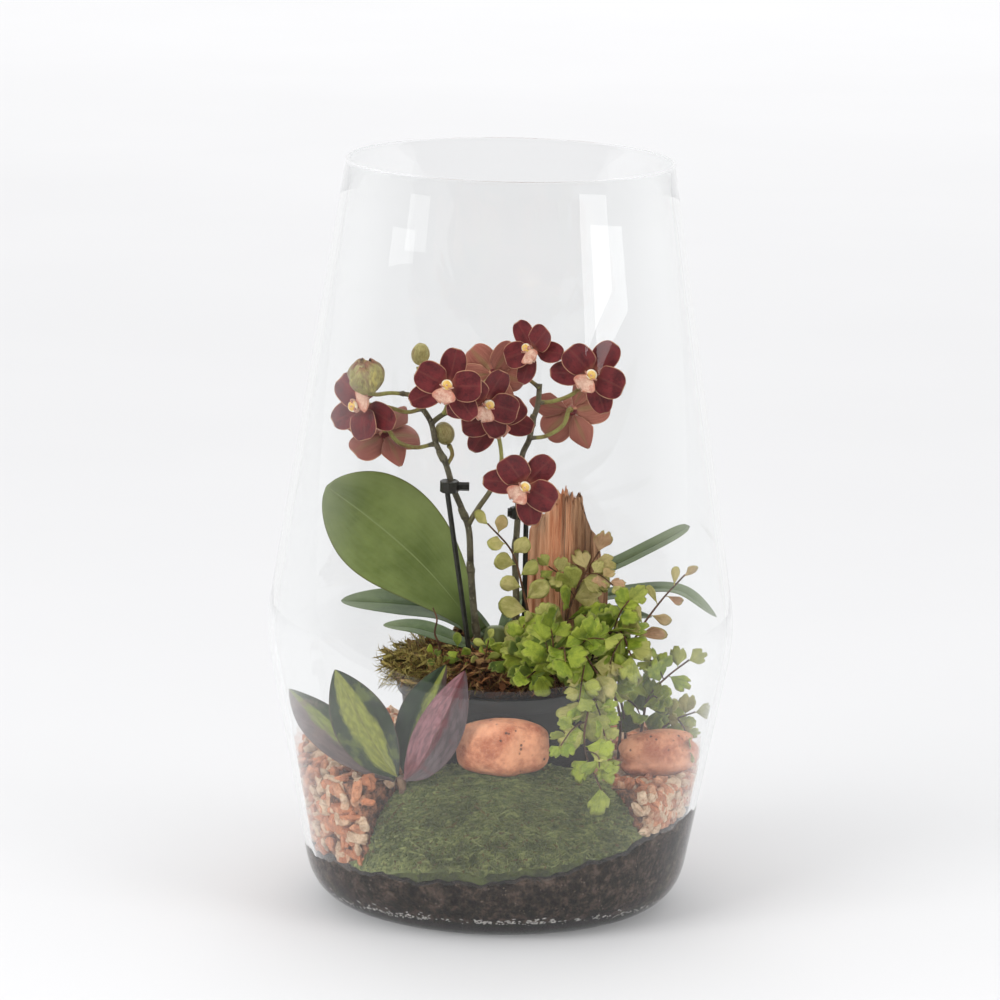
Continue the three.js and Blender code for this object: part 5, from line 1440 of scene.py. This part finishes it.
def make_bloom(name, bloom, seed):
    turn, middle = bloom_frame(bloom)
    size = bloom[3]
    draw = np.random.default_rng(seed)
    bm = shaded_body()
    hub = [(0, -HUB_DEPTH), (0.55, -HUB_DEPTH), (0.9, -0.8), (1, 0), (0.85, 0.9), (0.5, HUB_DEPTH),
           (0, HUB_DEPTH)]

    def hub_point(s, t):
        k = np.rint(t * 6).astype(int)
        r = np.array([p[0] for p in hub])[k] * HUB_RADIUS * size * 0.95
        z = np.array([p[1] for p in hub])[k] * size
        return polar(r, TURN * s, z) @ turn.T + middle

    skin(bm, 16, 6, hub_point)
    set_shade(bm, 0, 0.5)
    for kind, degrees in TEPALS:
        start = len(bm.verts)
        surface = tepal_surface(kind, size, draw, name in ("bloom_left_back", "bloom_right_back"))

        def from_root(u, v, surface=surface):
            return surface(u, 0.06 + 0.92 * v)

        thin(bm, from_root, 36, 22, lambda u, v: 0.75 - 0.2 * v, (about(turn, degrees), middle))
        set_shade(bm, start, draw.uniform(0, 1))
    piece_of(name + "_petals", bm, "maroon_petal", [name + "_tepals"])
    make_lip(name, turn, middle, size, draw)


def make_lip(name, turn, middle, size, draw):
    """The lip: column with its cap, two raised side lobes and a fleshy middle lobe."""
    bm = shaded_body()
    foot = HUB_DEPTH * size + 1.9
    start_z = HUB_DEPTH * size + 0.39

    widths = np.array([0.0, 1.4, 1.5, 1.4, 1.4, 1.6, 2.1, 2.5, 2.3, 1.4, 0.0])
    rises = np.array([0, 0, 0.15, 0.35, 0.5, 0.6, 0.68, 0.78, 0.9, 0.98, 1.0])

    def column(s, t):
        k = np.rint(t * 10).astype(int)
        reach, z = size * widths[k], start_z + 5.3 * size * rises[k]
        y = 0.6 + 0.9 * size * t * t
        points = np.stack([reach * np.cos(TURN * s), y + 0.95 * reach * np.sin(TURN * s), z], axis=-1)
        return points @ turn.T + middle

    skin(bm, 20, 10, column)
    set_shade(bm, 0, 0.8)

    def beak(s, t):
        reach = 0.55 * size * np.sin(np.pi * np.clip(t, 0.0, 1.0)) ** 0.6
        y, z = 1.1 * size + 1.1 * reach * np.sin(TURN * s), start_z + size * (4.9 + 0.9 * t)
        return np.stack([reach * np.cos(TURN * s), y, z], axis=-1) @ turn.T + middle

    start = len(bm.verts)
    skin(bm, 12, 8, beak)
    set_shade(bm, start, 1.0)

    def tongue(u, v):
        tip = np.where(v > 0.78, np.sqrt(np.clip((1.03 - v) / 0.25, 0, 1)), 1)
        half = size * (1.0 + 4.3 * np.sin(np.pi * 0.86 * v) ** 0.9) * tip
        forward = foot + 1.2 + size * (4.4 * v - 3.6 * v * v) + 1.5 * size * u * u * v
        forward = forward - 0.6 * np.exp(-(u / 0.2) ** 2) * v + 0.4 * np.sin(9 * v + 4 * u) * u * u
        down = -size * (0.3 + 7.2 * v + 0.5 * v * np.cos(3 * np.pi * u))
        return np.stack([u * half, down, forward], axis=-1)

    start = len(bm.verts)
    thin(bm, tongue, 32, 18, lambda u, v: 0.9 - 0.3 * v, (turn, middle))
    set_shade(bm, start, 0.2)
    for side in (1, -1):
        def cheek(u, v, side=side):
            half = size * (0.9 + 1.3 * hump(0.1 + 0.85 * v))
            aside, up = side * size * (1.0 + 2.3 * v - 0.5 * u * u), size * (-0.9 + 1.1 * v + 0.35 * (1 + u))
            return np.stack([aside, up, foot + size * (1.9 + 0.5 * v) + u * half], axis=-1)

        start = len(bm.verts)
        thin(bm, cheek, 20, 10, 0.65, (turn, middle))
        set_shade(bm, start, 0.45)
    piece_of(name + "_lip_parts", bm, "pale_lip", [name + "_lip"])


# Buds and flower spikes

BUDS = {
    "bud_opening": ([-59, -24, 232.6], [-0.2, -0.35, 0.95], [8.1, 8.6], 0.16),
    "bud_top": ([-36.6, -5, 238.4], [0.1, -0.1, 1], [4.1, 4.9], 0.05),
    "bud_behind": ([-25.8, 0, 203.4], [-0.35, -0.1, 0.9], [4.4, 5.2], 0.05),
}


# each sepal of the opening bud: its turn round the bud, how wide and how high it is, and its curl
OPEN_SEPALS = [(15, 0.9, 0.9, -0.42), (88, 0.8, 0.8, -0.2), (152, 0.95, 0.94, -0.38),
               (222, 0.85, 0.82, -0.22), (290, 0.95, 0.97, -0.5)]


def under_bud(bud):
    return list(np.array(bud[0]) - unit(np.array(bud[1], float)) * (bud[2][1] + 0.84))


def make_bud(name, bud):
    at, axis, half, opened = bud
    is_open = opened > 0.1
    up = unit(np.array(axis, float))
    side = unit(np.cross(up, [0.2, 1, 0.1]))
    turn = np.stack([side, np.cross(up, side), up], axis=1)
    bm = shaded_body()

    def skin_point(s, t):
        angle, h = TURN * s, -np.cos(np.pi * np.clip(t, 0, 1))
        crease = 1 - opened * (0.5 + 0.5 * np.cos(3 * angle)) - 0.05 * np.abs(np.cos(1.5 * angle)) ** 14
        full = np.sqrt(np.maximum(1 - h * h, 0)) * np.where(h > 0, 1 - 0.06 * h, 1 + 0.04 * h)
        dip = np.where(h > 0.93, lerp(1, 0.7 if is_open else 0.9, (h - 0.93) / 0.07), 1)
        radius = half[0] * crease * full * (0.74 if is_open else 1)
        return polar(radius, angle, half[1] * h * dip * (0.76 if is_open else 1)) @ turn.T + np.array(at)

    skin(bm, 48, 30, skin_point)
    if is_open:
        for turn_by, wide, top, curl in OPEN_SEPALS:
            def sepal(u, v, turn_by=turn_by, wide=wide, top=top, curl=curl):
                spread = wide * u * (0.25 + 0.75 * hump(0.08 + 0.8 * v) ** 0.8)
                angle = math.radians(turn_by) + spread + 0.12 * np.sin(9 * v + turn_by)
                h = -0.96 + (top + 0.96) * v - (0.2 * u * u + 0.05 * np.sin(8 * u + turn_by)) * v
                full = 0.3 + 0.6 * np.sin(np.pi * np.clip(v, 0, 1) ** 0.8 * 0.8) ** 0.8
                fold = 0.55 * np.cos(3.4 * u + 0.6 * turn_by) + 0.3 * np.sin(7 * u + 4 * v + turn_by)
                fold = (fold + 0.12 * np.sin(15 * u - 9 * v)) * hump(0.1 + 0.85 * v)
                radius = half[0] * (full + curl * v ** 4) + fold - 0.9 * u * u * v
                radius = np.clip(radius, 0.4, half[0] - 0.1)
                return polar(radius, angle, half[1] * h * np.where(h > 0, 0.84, 1)) @ turn.T + np.array(at)
            thin(bm, sepal, 40, 30, 0.6)
    set_shade(bm, 0, 1.0 if is_open else 0.15)
    piece_of(name + "_sepals", bm, "bud_green", [name])


SPIKE_LEFT = [[-7.2, -4.4, 103], [-9.4, -6.6, 113], [-11.6, -7.2, 128], [-13.3, -7, 146],
              [-14.6, -7, 163.6], [-17.6, -7, 172],
              [-21.2, -6.6, 180.1], [-25.3, -6, 192.4], [-29.2, -5, 199.8], [-31.6, -4, 208.9],
              [-36.9, -4, 217]]
SPIKE_RIGHT = [[3.3, -4.2, 103], [5.6, -4.6, 113], [6.6, -4, 125], [5.7, -4, 149.7], [6.3, -4, 168.8],
               [6.9, -4, 188.5],
               [8, -3, 196.4], [10.4, -2, 201.6], [11.9, -2, 210.3], [13.8, -2, 216.9], [14.4, -2, 226]]
B = BLOOMS
LEFT_BRANCHES = [[[-36.6, -4, 216], [-40.5, -4.6, 220.4], [-44.5, -5.5, 221.2]],
                 [[-31.4, -4, 208.4], [-26.5, -3.5, 212.2], [-20.5, -3.5, 214.6], [-14.5, -3.5, 217]],
                 [[-15, -7, 165], [-10.5, -8.5, 173], [-5.9, -9.5, 180.2], [-2.2, -9.5, 188],
                  [-0.8, -9, 194]]]
LEFT_STALKS = [[[-43.5, -5.4, 221.2], [-49, -10, 222.2], [-54.5, -16.5, 222.6],
                under_bud(BUDS["bud_opening"])],
               [[-35.5, -4, 214.6], [-41.5, -3, 212.8], [-48, -2.5, 214.2], [-54, -4, 215.8],
                *behind(B["bloom_left_front"])],
               [[-30, -4.6, 199.6], [-38, -4.5, 197.8], [-46, -4.5, 200.5], *behind(B["bloom_left_back"])],
               [[-36.7, -4, 217.5], [-36.2, -5.5, 225], [-36.9, -5, 231], under_bud(BUDS["bud_top"])],
               [[-26, -3.5, 212.6], [-24.4, -14, 219.5], [-23.9, -26, 227.5], *behind(B["bloom_centre"])],
               [[-15.5, -3.5, 216.8], [-19, -9.5, 221.5], [-16, -16, 224], *behind(B["bloom_centre_right"])],
               [[-15.5, -3.5, 216.8], [-11.5, 0, 222], [-8, 2.5, 226.5], *behind(B["bloom_centre_back"])],
               [[-24.6, -6, 190.5], [-22.2, -3.5, 194.6], [-22.8, -1.5, 197], under_bud(BUDS["bud_behind"])],
               [[-1, -9, 192.5], [-1.6, -7.2, 199], [-3.2, -6.2, 206], *behind(B["bloom_centre_low"])],
               [[-1.6, -9.3, 190.5], [2.2, -13, 191.5], [6.6, -19, 189.5], *behind(B["bloom_low"])]]
RIGHT_STALKS = [[[14.3, -2, 224.5], [9.6, -2.4, 228.3], [5.6, -1.6, 234], [8.2, 0.4, 238.3],
                 *behind(B["bloom_right_top"])],
                [[14, -2, 218], [20.5, -2.4, 218.8], [28.5, -4.5, 222.5], [34.6, -8, 229.5],
                 *behind(B["bloom_right"])],
                [[10.6, -2, 202.5], [17.5, -0.5, 203.2], [25, 1, 208], *behind(B["bloom_right_back"])]]


def make_spike(name, route, branches, stalks, knots):
    """A spike: the main stem swells at its knots, and each carries a small sheath."""
    bm = shaded_body()
    line = Line(route)

    def swell(s, t):
        return 1.62 - 0.45 * t + sum(0.42 * np.exp(-((t - k) / 0.012) ** 2) for k in knots)

    stem(bm, line, swell, 14, 110)
    set_shade(bm, 0, 0.05)
    for knot in knots:
        start = len(bm.verts)
        spot, ahead = line.spot(knot)
        side = unit(np.cross(ahead, [0.3, 1, 0.2]))
        front = np.cross(ahead, side)

        def sheath(u, v, spot=spot, ahead=ahead, side=side, front=front):
            angle = u * 1.5 * (1 - 0.75 * v)
            reach = 1.75 + 0.55 * v * v
            return spot + side * (reach * np.sin(angle))[:, None] + front * (reach
                    * np.cos(angle))[:, None] + ahead * (5.2 * v - 0.8)[:, None]

        thin(bm, sheath, 20, 8, 0.35)
        set_shade(bm, start, 0.3)
    for branch in branches:
        start = len(bm.verts)
        stem(bm, branch, lambda s, t: 1.2 - 0.2 * t + 0.3 * np.exp(-(t / 0.05) ** 2), 12)
        set_shade(bm, start, 0.35)
    for stalk in stalks:
        start = len(bm.verts)
        stem(bm, stalk, lambda s, t: 0.85 + 0.12 * t + 0.45 * np.exp(-(t / 0.05) ** 2) + 0.25
             * np.exp(-((1 - t) / 0.06) ** 2), 10)
        set_shade(bm, start, 0.8)
    piece_of(name + "_stems", bm, "spike_stem", [name])


# Wax plant

WAX_LEAVES = {
    "wax_leaf_far_left": ([[-43.2, -53.6, 64.4], [-56, -46, 71], [-73, -31.5, 81], [-90, -13, 93]],
                          [-0.2, -0.72, 0.66], 9,
                          wax_leaf_finish((104, 84, 82), (122, 132, 56), (50, 64, 34), (-0.2, 0.42),
                                          (112, 92, 84), 0.7), "wax_leaf"),
    "wax_leaf_left": ([[-41.95, -55, 66.3], [-49, -56, 76], [-60, -51, 94], [-69, -45, 109.5]],
                      [-0.12, -0.93, 0.35], 12,
                      wax_leaf_finish((54, 66, 44), (142, 146, 66), (50, 62, 42), (-0.5, 0.42),
                                      (112, 122, 54), 0.5), "wax_leaf"),
    "wax_leaf_middle": ([[-39, -50.9, 66.4], [-36.5, -49.5, 78], [-31, -49, 96], [-22.5, -49.5, 113.5]],
                        [-0.25, -0.95, 0.2], 9,
                        wax_leaf_finish((56, 72, 52), (146, 154, 70), (84, 66, 60), (-0.15, 0.4),
                                        (76, 94, 56), 0.5), "wax_leaf"),
    "wax_leaf_front": ([[-38.65, -55.8, 65], [-32.5, -60, 73], [-24, -62, 91], [-14.5, -61, 114]],
                       [0.15, -0.97, 0.15], 10,
                       wax_leaf_finish((158, 106, 112), (98, 44, 50), (98, 82, 84), (-0.02, 0.16),
                                       (112, 52, 56), 0.55), "wax_leaf_pink"),
}


def make_wax_plant():
    bm = bmesh.new()
    stem(bm, [[-39, -51.5, 54], [-39.6, -52.5, 60], [-40.4, -53.5, 66]], lambda s, t: 1.75 + 0.15
         * np.sin(9 * t), 18, 16)
    piece_of("wax_plant_stem", bm, "wax_stem_finish", ["wax_stem"], "wax_leaf_pink")
    for name, (route, faces, half_width, recipe, slot) in WAX_LEAVES.items():
        surface = leaf_surface(route, faces, half_width, oval, 0.3, 0.5, 0.25)
        bm = bmesh.new()
        thin(bm, surface, 56, 60, lambda u, v: 1.3 - 0.4 * v)
        finish(name, recipe, 0.34, Coat_Weight=0.25)
        piece_of(name + "_blade", bm, name, [name], slot)


# Maidenhair fern

FRONDS = {
    "fern_frond_upright": ([[16, -21, 97], [15, -17, 110], [12.5, -15, 125], [9, -15.5, 140],
                            [4, -16.5, 156], [-6.5, -17, 168]],
                           [0, -1, 0.1], 0.3, 11, [8.4, 5.2], 11),
    "fern_frond_tall": ([[27, -15, 97], [28, -11, 112], [29, -8.5, 128], [34, -8, 142],
                         [41.5, -7.5, 155]], [0.1, -1, 0.15], 0.25, 11, [14, 10], 23),
    "fern_frond_front": ([[22, -27, 97], [20, -33, 108], [24, -41, 119], [33, -48, 121], [41, -53, 112]],
                         [-0.1, -0.85, 0.5], 0.2, 12, [15.5, 12], 37),
    "fern_frond_middle": ([[33, -21, 97], [38, -28, 110], [43, -35, 123], [50, -41, 128],
                           [55, -45, 118]], [0, -0.9, 0.4], 0.2, 12, [16, 12], 41),
    "fern_frond_right": ([[56, 4, 60], [54, -8, 82], [51, -22, 104], [58, -22, 122], [68, -17, 136],
                          [78, -12, 146.5]], [-0.1, -1, 0.2], 0.42, 12, [10, 5], 53),
    "fern_frond_low_right": ([[60, 2, 60], [62, -8, 80], [64, -20, 95], [71, -23, 104],
                              [80.5, -20, 111]], [0, -0.95, 0.3], 0.3, 10, [12.5, 9], 67),
    "fern_frond_trailing": ([[52, 0, 58.5], [52, -14, 84], [46, -38, 101], [38, -57, 99], [36, -68, 84],
                             [43, -75, 67.5]],
                            [0, -0.95, 0.35], 0.42, 12, [15, 11.5], 71),
    "fern_frond_by_glass": ([[63, 6, 60], [68, 2, 72], [76, -8, 82], [84, -14, 87]], [-0.3, -0.9, 0.2],
                            0.4, 6, [9.5, 8], 83),
}
SPRAYS = {"fern_frond_tall": 4, "fern_frond_front": 6, "fern_frond_middle": 6, "fern_frond_low_right": 3,
          "fern_frond_trailing": 5, "fern_frond_by_glass": 2}
AGES = {"fern_frond_upright": (0.6, 0.72), "fern_frond_tall": (0.15, 0.85),
        "fern_frond_right": (0.45, 0.98), "fern_frond_trailing": (0.3, 0.45),
        "fern_frond_by_glass": (0.4, 0.45)}
SLIM = {"fern_frond_upright": 46, "fern_frond_right": 28}


def leaflet_surface(size, draw, slim):
    """A fan with notched and toothed lobes, or a slim oval, cupped and folded a little."""
    lobes, wave = draw.integers(3, 6), draw.uniform(0, TURN)
    cup, fold, droop = draw.uniform(-0.3, 0.3), draw.uniform(-0.22, 0.3), draw.uniform(-0.35, 0.15)
    spread, narrow = (slim, 0.8) if slim else (draw.uniform(42, 66), 0.9)

    def surface(u, v):
        share = (u + 1) / 2
        angle = np.radians(90 - u * spread)
        part = (share * lobes) % 1
        notch = np.exp(-(np.minimum(part, 1 - part) / 0.09) ** 2) * ((share > 0.08) & (share < 0.92))
        teeth = np.abs((share * lobes * 3.5 + wave) % 1 - 0.5)
        edge = size * (0.6 + 0.4 * np.maximum(np.sin(np.pi * share), 0) ** 0.7)
        edge = edge * (1 if slim else (1 - 0.2 * notch) * (0.97 + 0.12 * teeth))
        reach = edge * v
        rise = size * (cup * v * v * (1 - 1.3 * u * u) + fold * np.abs(u) * v * 0.6 + droop * v * v * 0.6
                       + 0.05 * v * np.sin(5 * u + wave))
        return np.stack([narrow * reach * np.cos(angle), reach * np.sin(angle), rise], axis=-1)

    return surface


def add_leaflet(bm, at, ahead, faces, size, side, lean, tilt, age, draw, stalk, slim):
    face = unit(unit(np.array(faces, float)) + 1.25 * np.array(tilt))
    out = unit(np.cross(ahead, face) * side + np.array(ahead) * lean)
    right = unit(np.cross(out, face))
    turn = np.stack([right, out, np.cross(right, out)], axis=1)
    root = at + out * stalk
    surface = leaflet_surface(size, draw, slim)
    start = len(bm.verts)

    def in_place(u, v):
        return keep_in_glass(surface(u, 0.03 + 0.97 * v) @ turn.T + root, 0.9)

    thin(bm, in_place, 20 if slim else 40, 6, 0.32)
    set_shade(bm, start, age)
    if stalk > 0.6:
        stem(bm, [list(at), list(at + out * stalk * 0.5 + np.array([0, 0, -0.2])),
                  list(root + out * 0.4)], 0.22, 5, 4)
        set_shade(bm, start, age)


def drawer(seed):
    """The same repeatable draw of numbers as the part's own source uses."""
    state = seed
    while True:
        state = (state * 1664525 + 1013904223) % 4294967296
        yield state / 4294967296


def make_frond(name, frond):
    route, faces, start_at, leaflets, sizes, seed = frond
    line, random, draw = Line(route), drawer(seed), np.random.default_rng(seed)
    green, wires = shaded_body(), bmesh.new()
    stem(wires, line, lambda s, t: 0.72 - 0.35 * t, 8, 60)
    ages, slim = AGES.get(name, (0.06, 0.42)), SLIM.get(name)
    for i in range(leaflets):
        share = i / (leaflets - 1)
        last = i == leaflets - 1
        where = lerp(start_at, 0.985, share)
        at, ahead = line.spot(where)
        size = lerp(sizes[0], sizes[1], share) * (0.88 + 0.24 * next(random))
        side = 1 if i % 2 else -1
        lean = 4 if last else 0.3 + 0.5 * next(random)
        tilt = [next(random) - 0.5 for _ in range(3)]
        age = np.clip(lerp(*ages, share) + draw.normal(0, 0.1), 0, 1)
        add_leaflet(green, at, ahead, faces, size * (1.5 if slim else 0.98), side, lean, tilt, age, draw,
                    0.9, slim)
    for k in range(SPRAYS.get(name, 0)):
        where = lerp(start_at - 0.05, 0.9, (k + 0.5) / SPRAYS[name])
        at, ahead = line.spot(where)
        side = 1 if k % 2 else -1
        out = unit(np.cross(ahead, unit(np.array(faces, float))) * side + 0.7 * ahead + draw.normal(0,
                0.3, 3) + np.array([0, -0.35, 0]))
        reach = draw.uniform(12, 19)
        spray = Line([at, at + out * reach * 0.5 + np.array([0, 0, 1.2]),
                      keep_in_glass(at + out * reach + np.array([0, 0, -2.0]), 5)])
        stem(wires, spray, 0.32, 6, 14)
        for j in range(6):
            spot, on = spray.spot(0.28 + 0.14 * j)
            tilt = draw.uniform(-0.6, 0.6, 3)
            lean = 4 if j == 5 else draw.uniform(0.2, 0.7)
            size = draw.uniform(0.45, 0.8) * lerp(sizes[0], sizes[1], where)
            age = np.clip(lerp(*ages, where) + draw.normal(0, 0.14), 0, 1)
            add_leaflet(green, spot, on, faces, size, 1 if j % 2 else -1, lean, tilt, age, draw, 0.8, slim)
    piece_of(name + "_wires", wires, "fern_stem", [name], "fern_green")
    piece_of(name + "_leaflets", green, "fern_green", [name])


def make_seedlings():
    """Young fern shoots round the orchid's foot, and one brown root in front of it."""
    draw = np.random.default_rng(97)
    green, wires = shaded_body(), bmesh.new()
    shoots = [(-23, -19, 111, -5, 5, 0.1), (-15, -21, 115, -3, 6, 0.12), (-7, -22, 119, 2, 6, 0.5),
              (1, -21, 116, 5, 6, 0.1), (6, -22, 126, 4, 7, 0.5),
              (8, -27, 113, -6, 9, 0.1), (14, -30, 121, -7, 10, 0.3), (20, -34, 114, -9, 11, 0.14),
              (24, -37, 122, -5, 11, 0.3), (14, -25, 128, 3, 9, 0.45)]
    for x, y, top, lean, size, age in shoots:
        shoot = Line([[x, y, 101], [x + 0.3 * lean, y - 1.5, lerp(101, top, 0.5)], [x + lean, y - 3, top]])
        stem(wires, shoot, 0.3, 6, 10)
        for k in range(6):
            spot, on = shoot.spot(0.35 + 0.13 * k)
            tilt = draw.uniform(-0.6, 0.6, 3)
            add_leaflet(green, spot, on, [0, -1, 0.35], size * draw.uniform(0.75, 1.1), 1 if k % 2 else -1,
                        4 if k == 5 else draw.uniform(0, 0.6), tilt,
                        np.clip(age + draw.normal(0, 0.08), 0, 1), draw, 0.9, 42 if size < 8 else None)
    stem(wires, [[-25, -17, 102], [-27.4, -18, 108], [-25.8, -18.4, 114], [-28, -18.6, 120],
                 [-27.2, -18, 126], [-29, -18, 131]], lambda s, t: 0.75 - 0.45 * t, 8, 40)
    piece_of("seedling_wires", wires, "fern_stem", [], "fern_green")
    piece_of("seedling_leaflets", green, "fern_green", [])


make_crown()
make_orchid_leaves()
for number, (bloom_name, bloom) in enumerate(BLOOMS.items()):
    make_bloom(bloom_name, bloom, 40 + number)
for bud_name, bud in BUDS.items():
    make_bud(bud_name, bud)
make_spike("spike_left", SPIKE_LEFT, LEFT_BRANCHES, LEFT_STALKS, [0.14, 0.36, 0.56, 0.78])
make_spike("spike_right", SPIKE_RIGHT, [], RIGHT_STALKS, [0.16, 0.42, 0.66, 0.86])
make_wax_plant()
make_seedlings()
for frond_name, frond in FRONDS.items():
    make_frond(frond_name, frond)

# Floor, world and lamps

def make_floor():
    def pale_floor(b):
        tone, _ = patches(b, 0.4, (218, 218, 219), (222, 222, 223), 0.3, 0.7)
        return look(tone)

    bm = bmesh.new()
    bmesh.ops.create_grid(bm, x_segments=8, y_segments=8, size=1)
    bmesh.ops.transform(bm, matrix=Matrix.Translation((0, 3.65, -0.0005))
                        @ Matrix.Diagonal((4, 4, 1, 1)), verts=bm.verts)
    mesh = bpy.data.meshes.new("floor")
    bm.to_mesh(mesh)
    bm.free()
    mesh.materials.append(finish("pale_floor", pale_floor, 0.9))
    floor = bpy.data.objects.new("floor", mesh)
    scene.collection.objects.link(floor)


def make_world():
    """White all round, but what the glass mirrors is dark in front of the table."""
    world = bpy.data.worlds.new("studio")
    scene.world = world
    world.use_nodes = True
    world.node_tree.nodes.clear()
    b = Bench(world.node_tree)
    x, y, z = b.apart(b.put("ShaderNodeTexCoord").outputs["Generated"])
    white = b.put("ShaderNodeBackground", {"Color": (0.985, 0.985, 0.99, 1), "Strength": 0.9})
    front = b.fade(z, 0.12, 0.4, 0.02, 0.2)
    side = b.sum("MAXIMUM", b.fade(y, -0.35, 0.15, 0.02, 0.95), front)
    rays = b.put("ShaderNodeLightPath").outputs
    mirrored = b.sum("MINIMUM", rays["Glossy Depth"], 1.0)
    seen = b.plus(b.times(b.minus(side, 0.95), mirrored), 0.95)
    dim = b.put("ShaderNodeBackground", {"Color": (0.985, 0.985, 0.99, 1), "Strength": seen})
    both = b.put("ShaderNodeMixShader", {0: rays["Is Glossy Ray"], 1: white.outputs[0], 2: dim.outputs[0]})
    b.put("ShaderNodeOutputWorld", {"Surface": both.outputs[0]})


def lamp(name, place, aim, size, power, glossy, roll=0.0):
    data = bpy.data.lights.new(name, "AREA")
    data.shape, data.size, data.size_y, data.energy = "RECTANGLE", size[0], size[1], power
    light = bpy.data.objects.new(name, data)
    place, aim = Vector(place), Vector(aim)
    light.matrix_world = Matrix.Translation(place) @ (aim - place).to_track_quat("-Z",
            "Y").to_matrix().to_4x4() @ Matrix.Rotation(math.radians(roll), 4, "Z")
    light.visible_camera = False
    light.visible_glossy = glossy
    light.visible_transmission = False
    scene.collection.objects.link(light)


make_floor()
make_world()
lamp("left_softbox", (-1.5, -1.3, 1.5), (0, 0, 0.15), (1.2, 1.2), 26, False)
lamp("right_softbox", (1.6, -1.0, 1.2), (0, 0, 0.15), (1.0, 1.0), 10, False)
lamp("back_softbox", (0, 4.2, 3.4), (0, 3.0, 0), (5, 3), 86, False)
lamp("left_strip", (-0.93, -0.51, 0.444), (0, -0.51, 0.444), (0.32, 0.085), 0.15, True, 7.0)
lamp("right_strip", (0.93, -0.635, 0.4245), (0, -0.635, 0.4245), (0.47, 0.1), 0.42, True, -2.1)
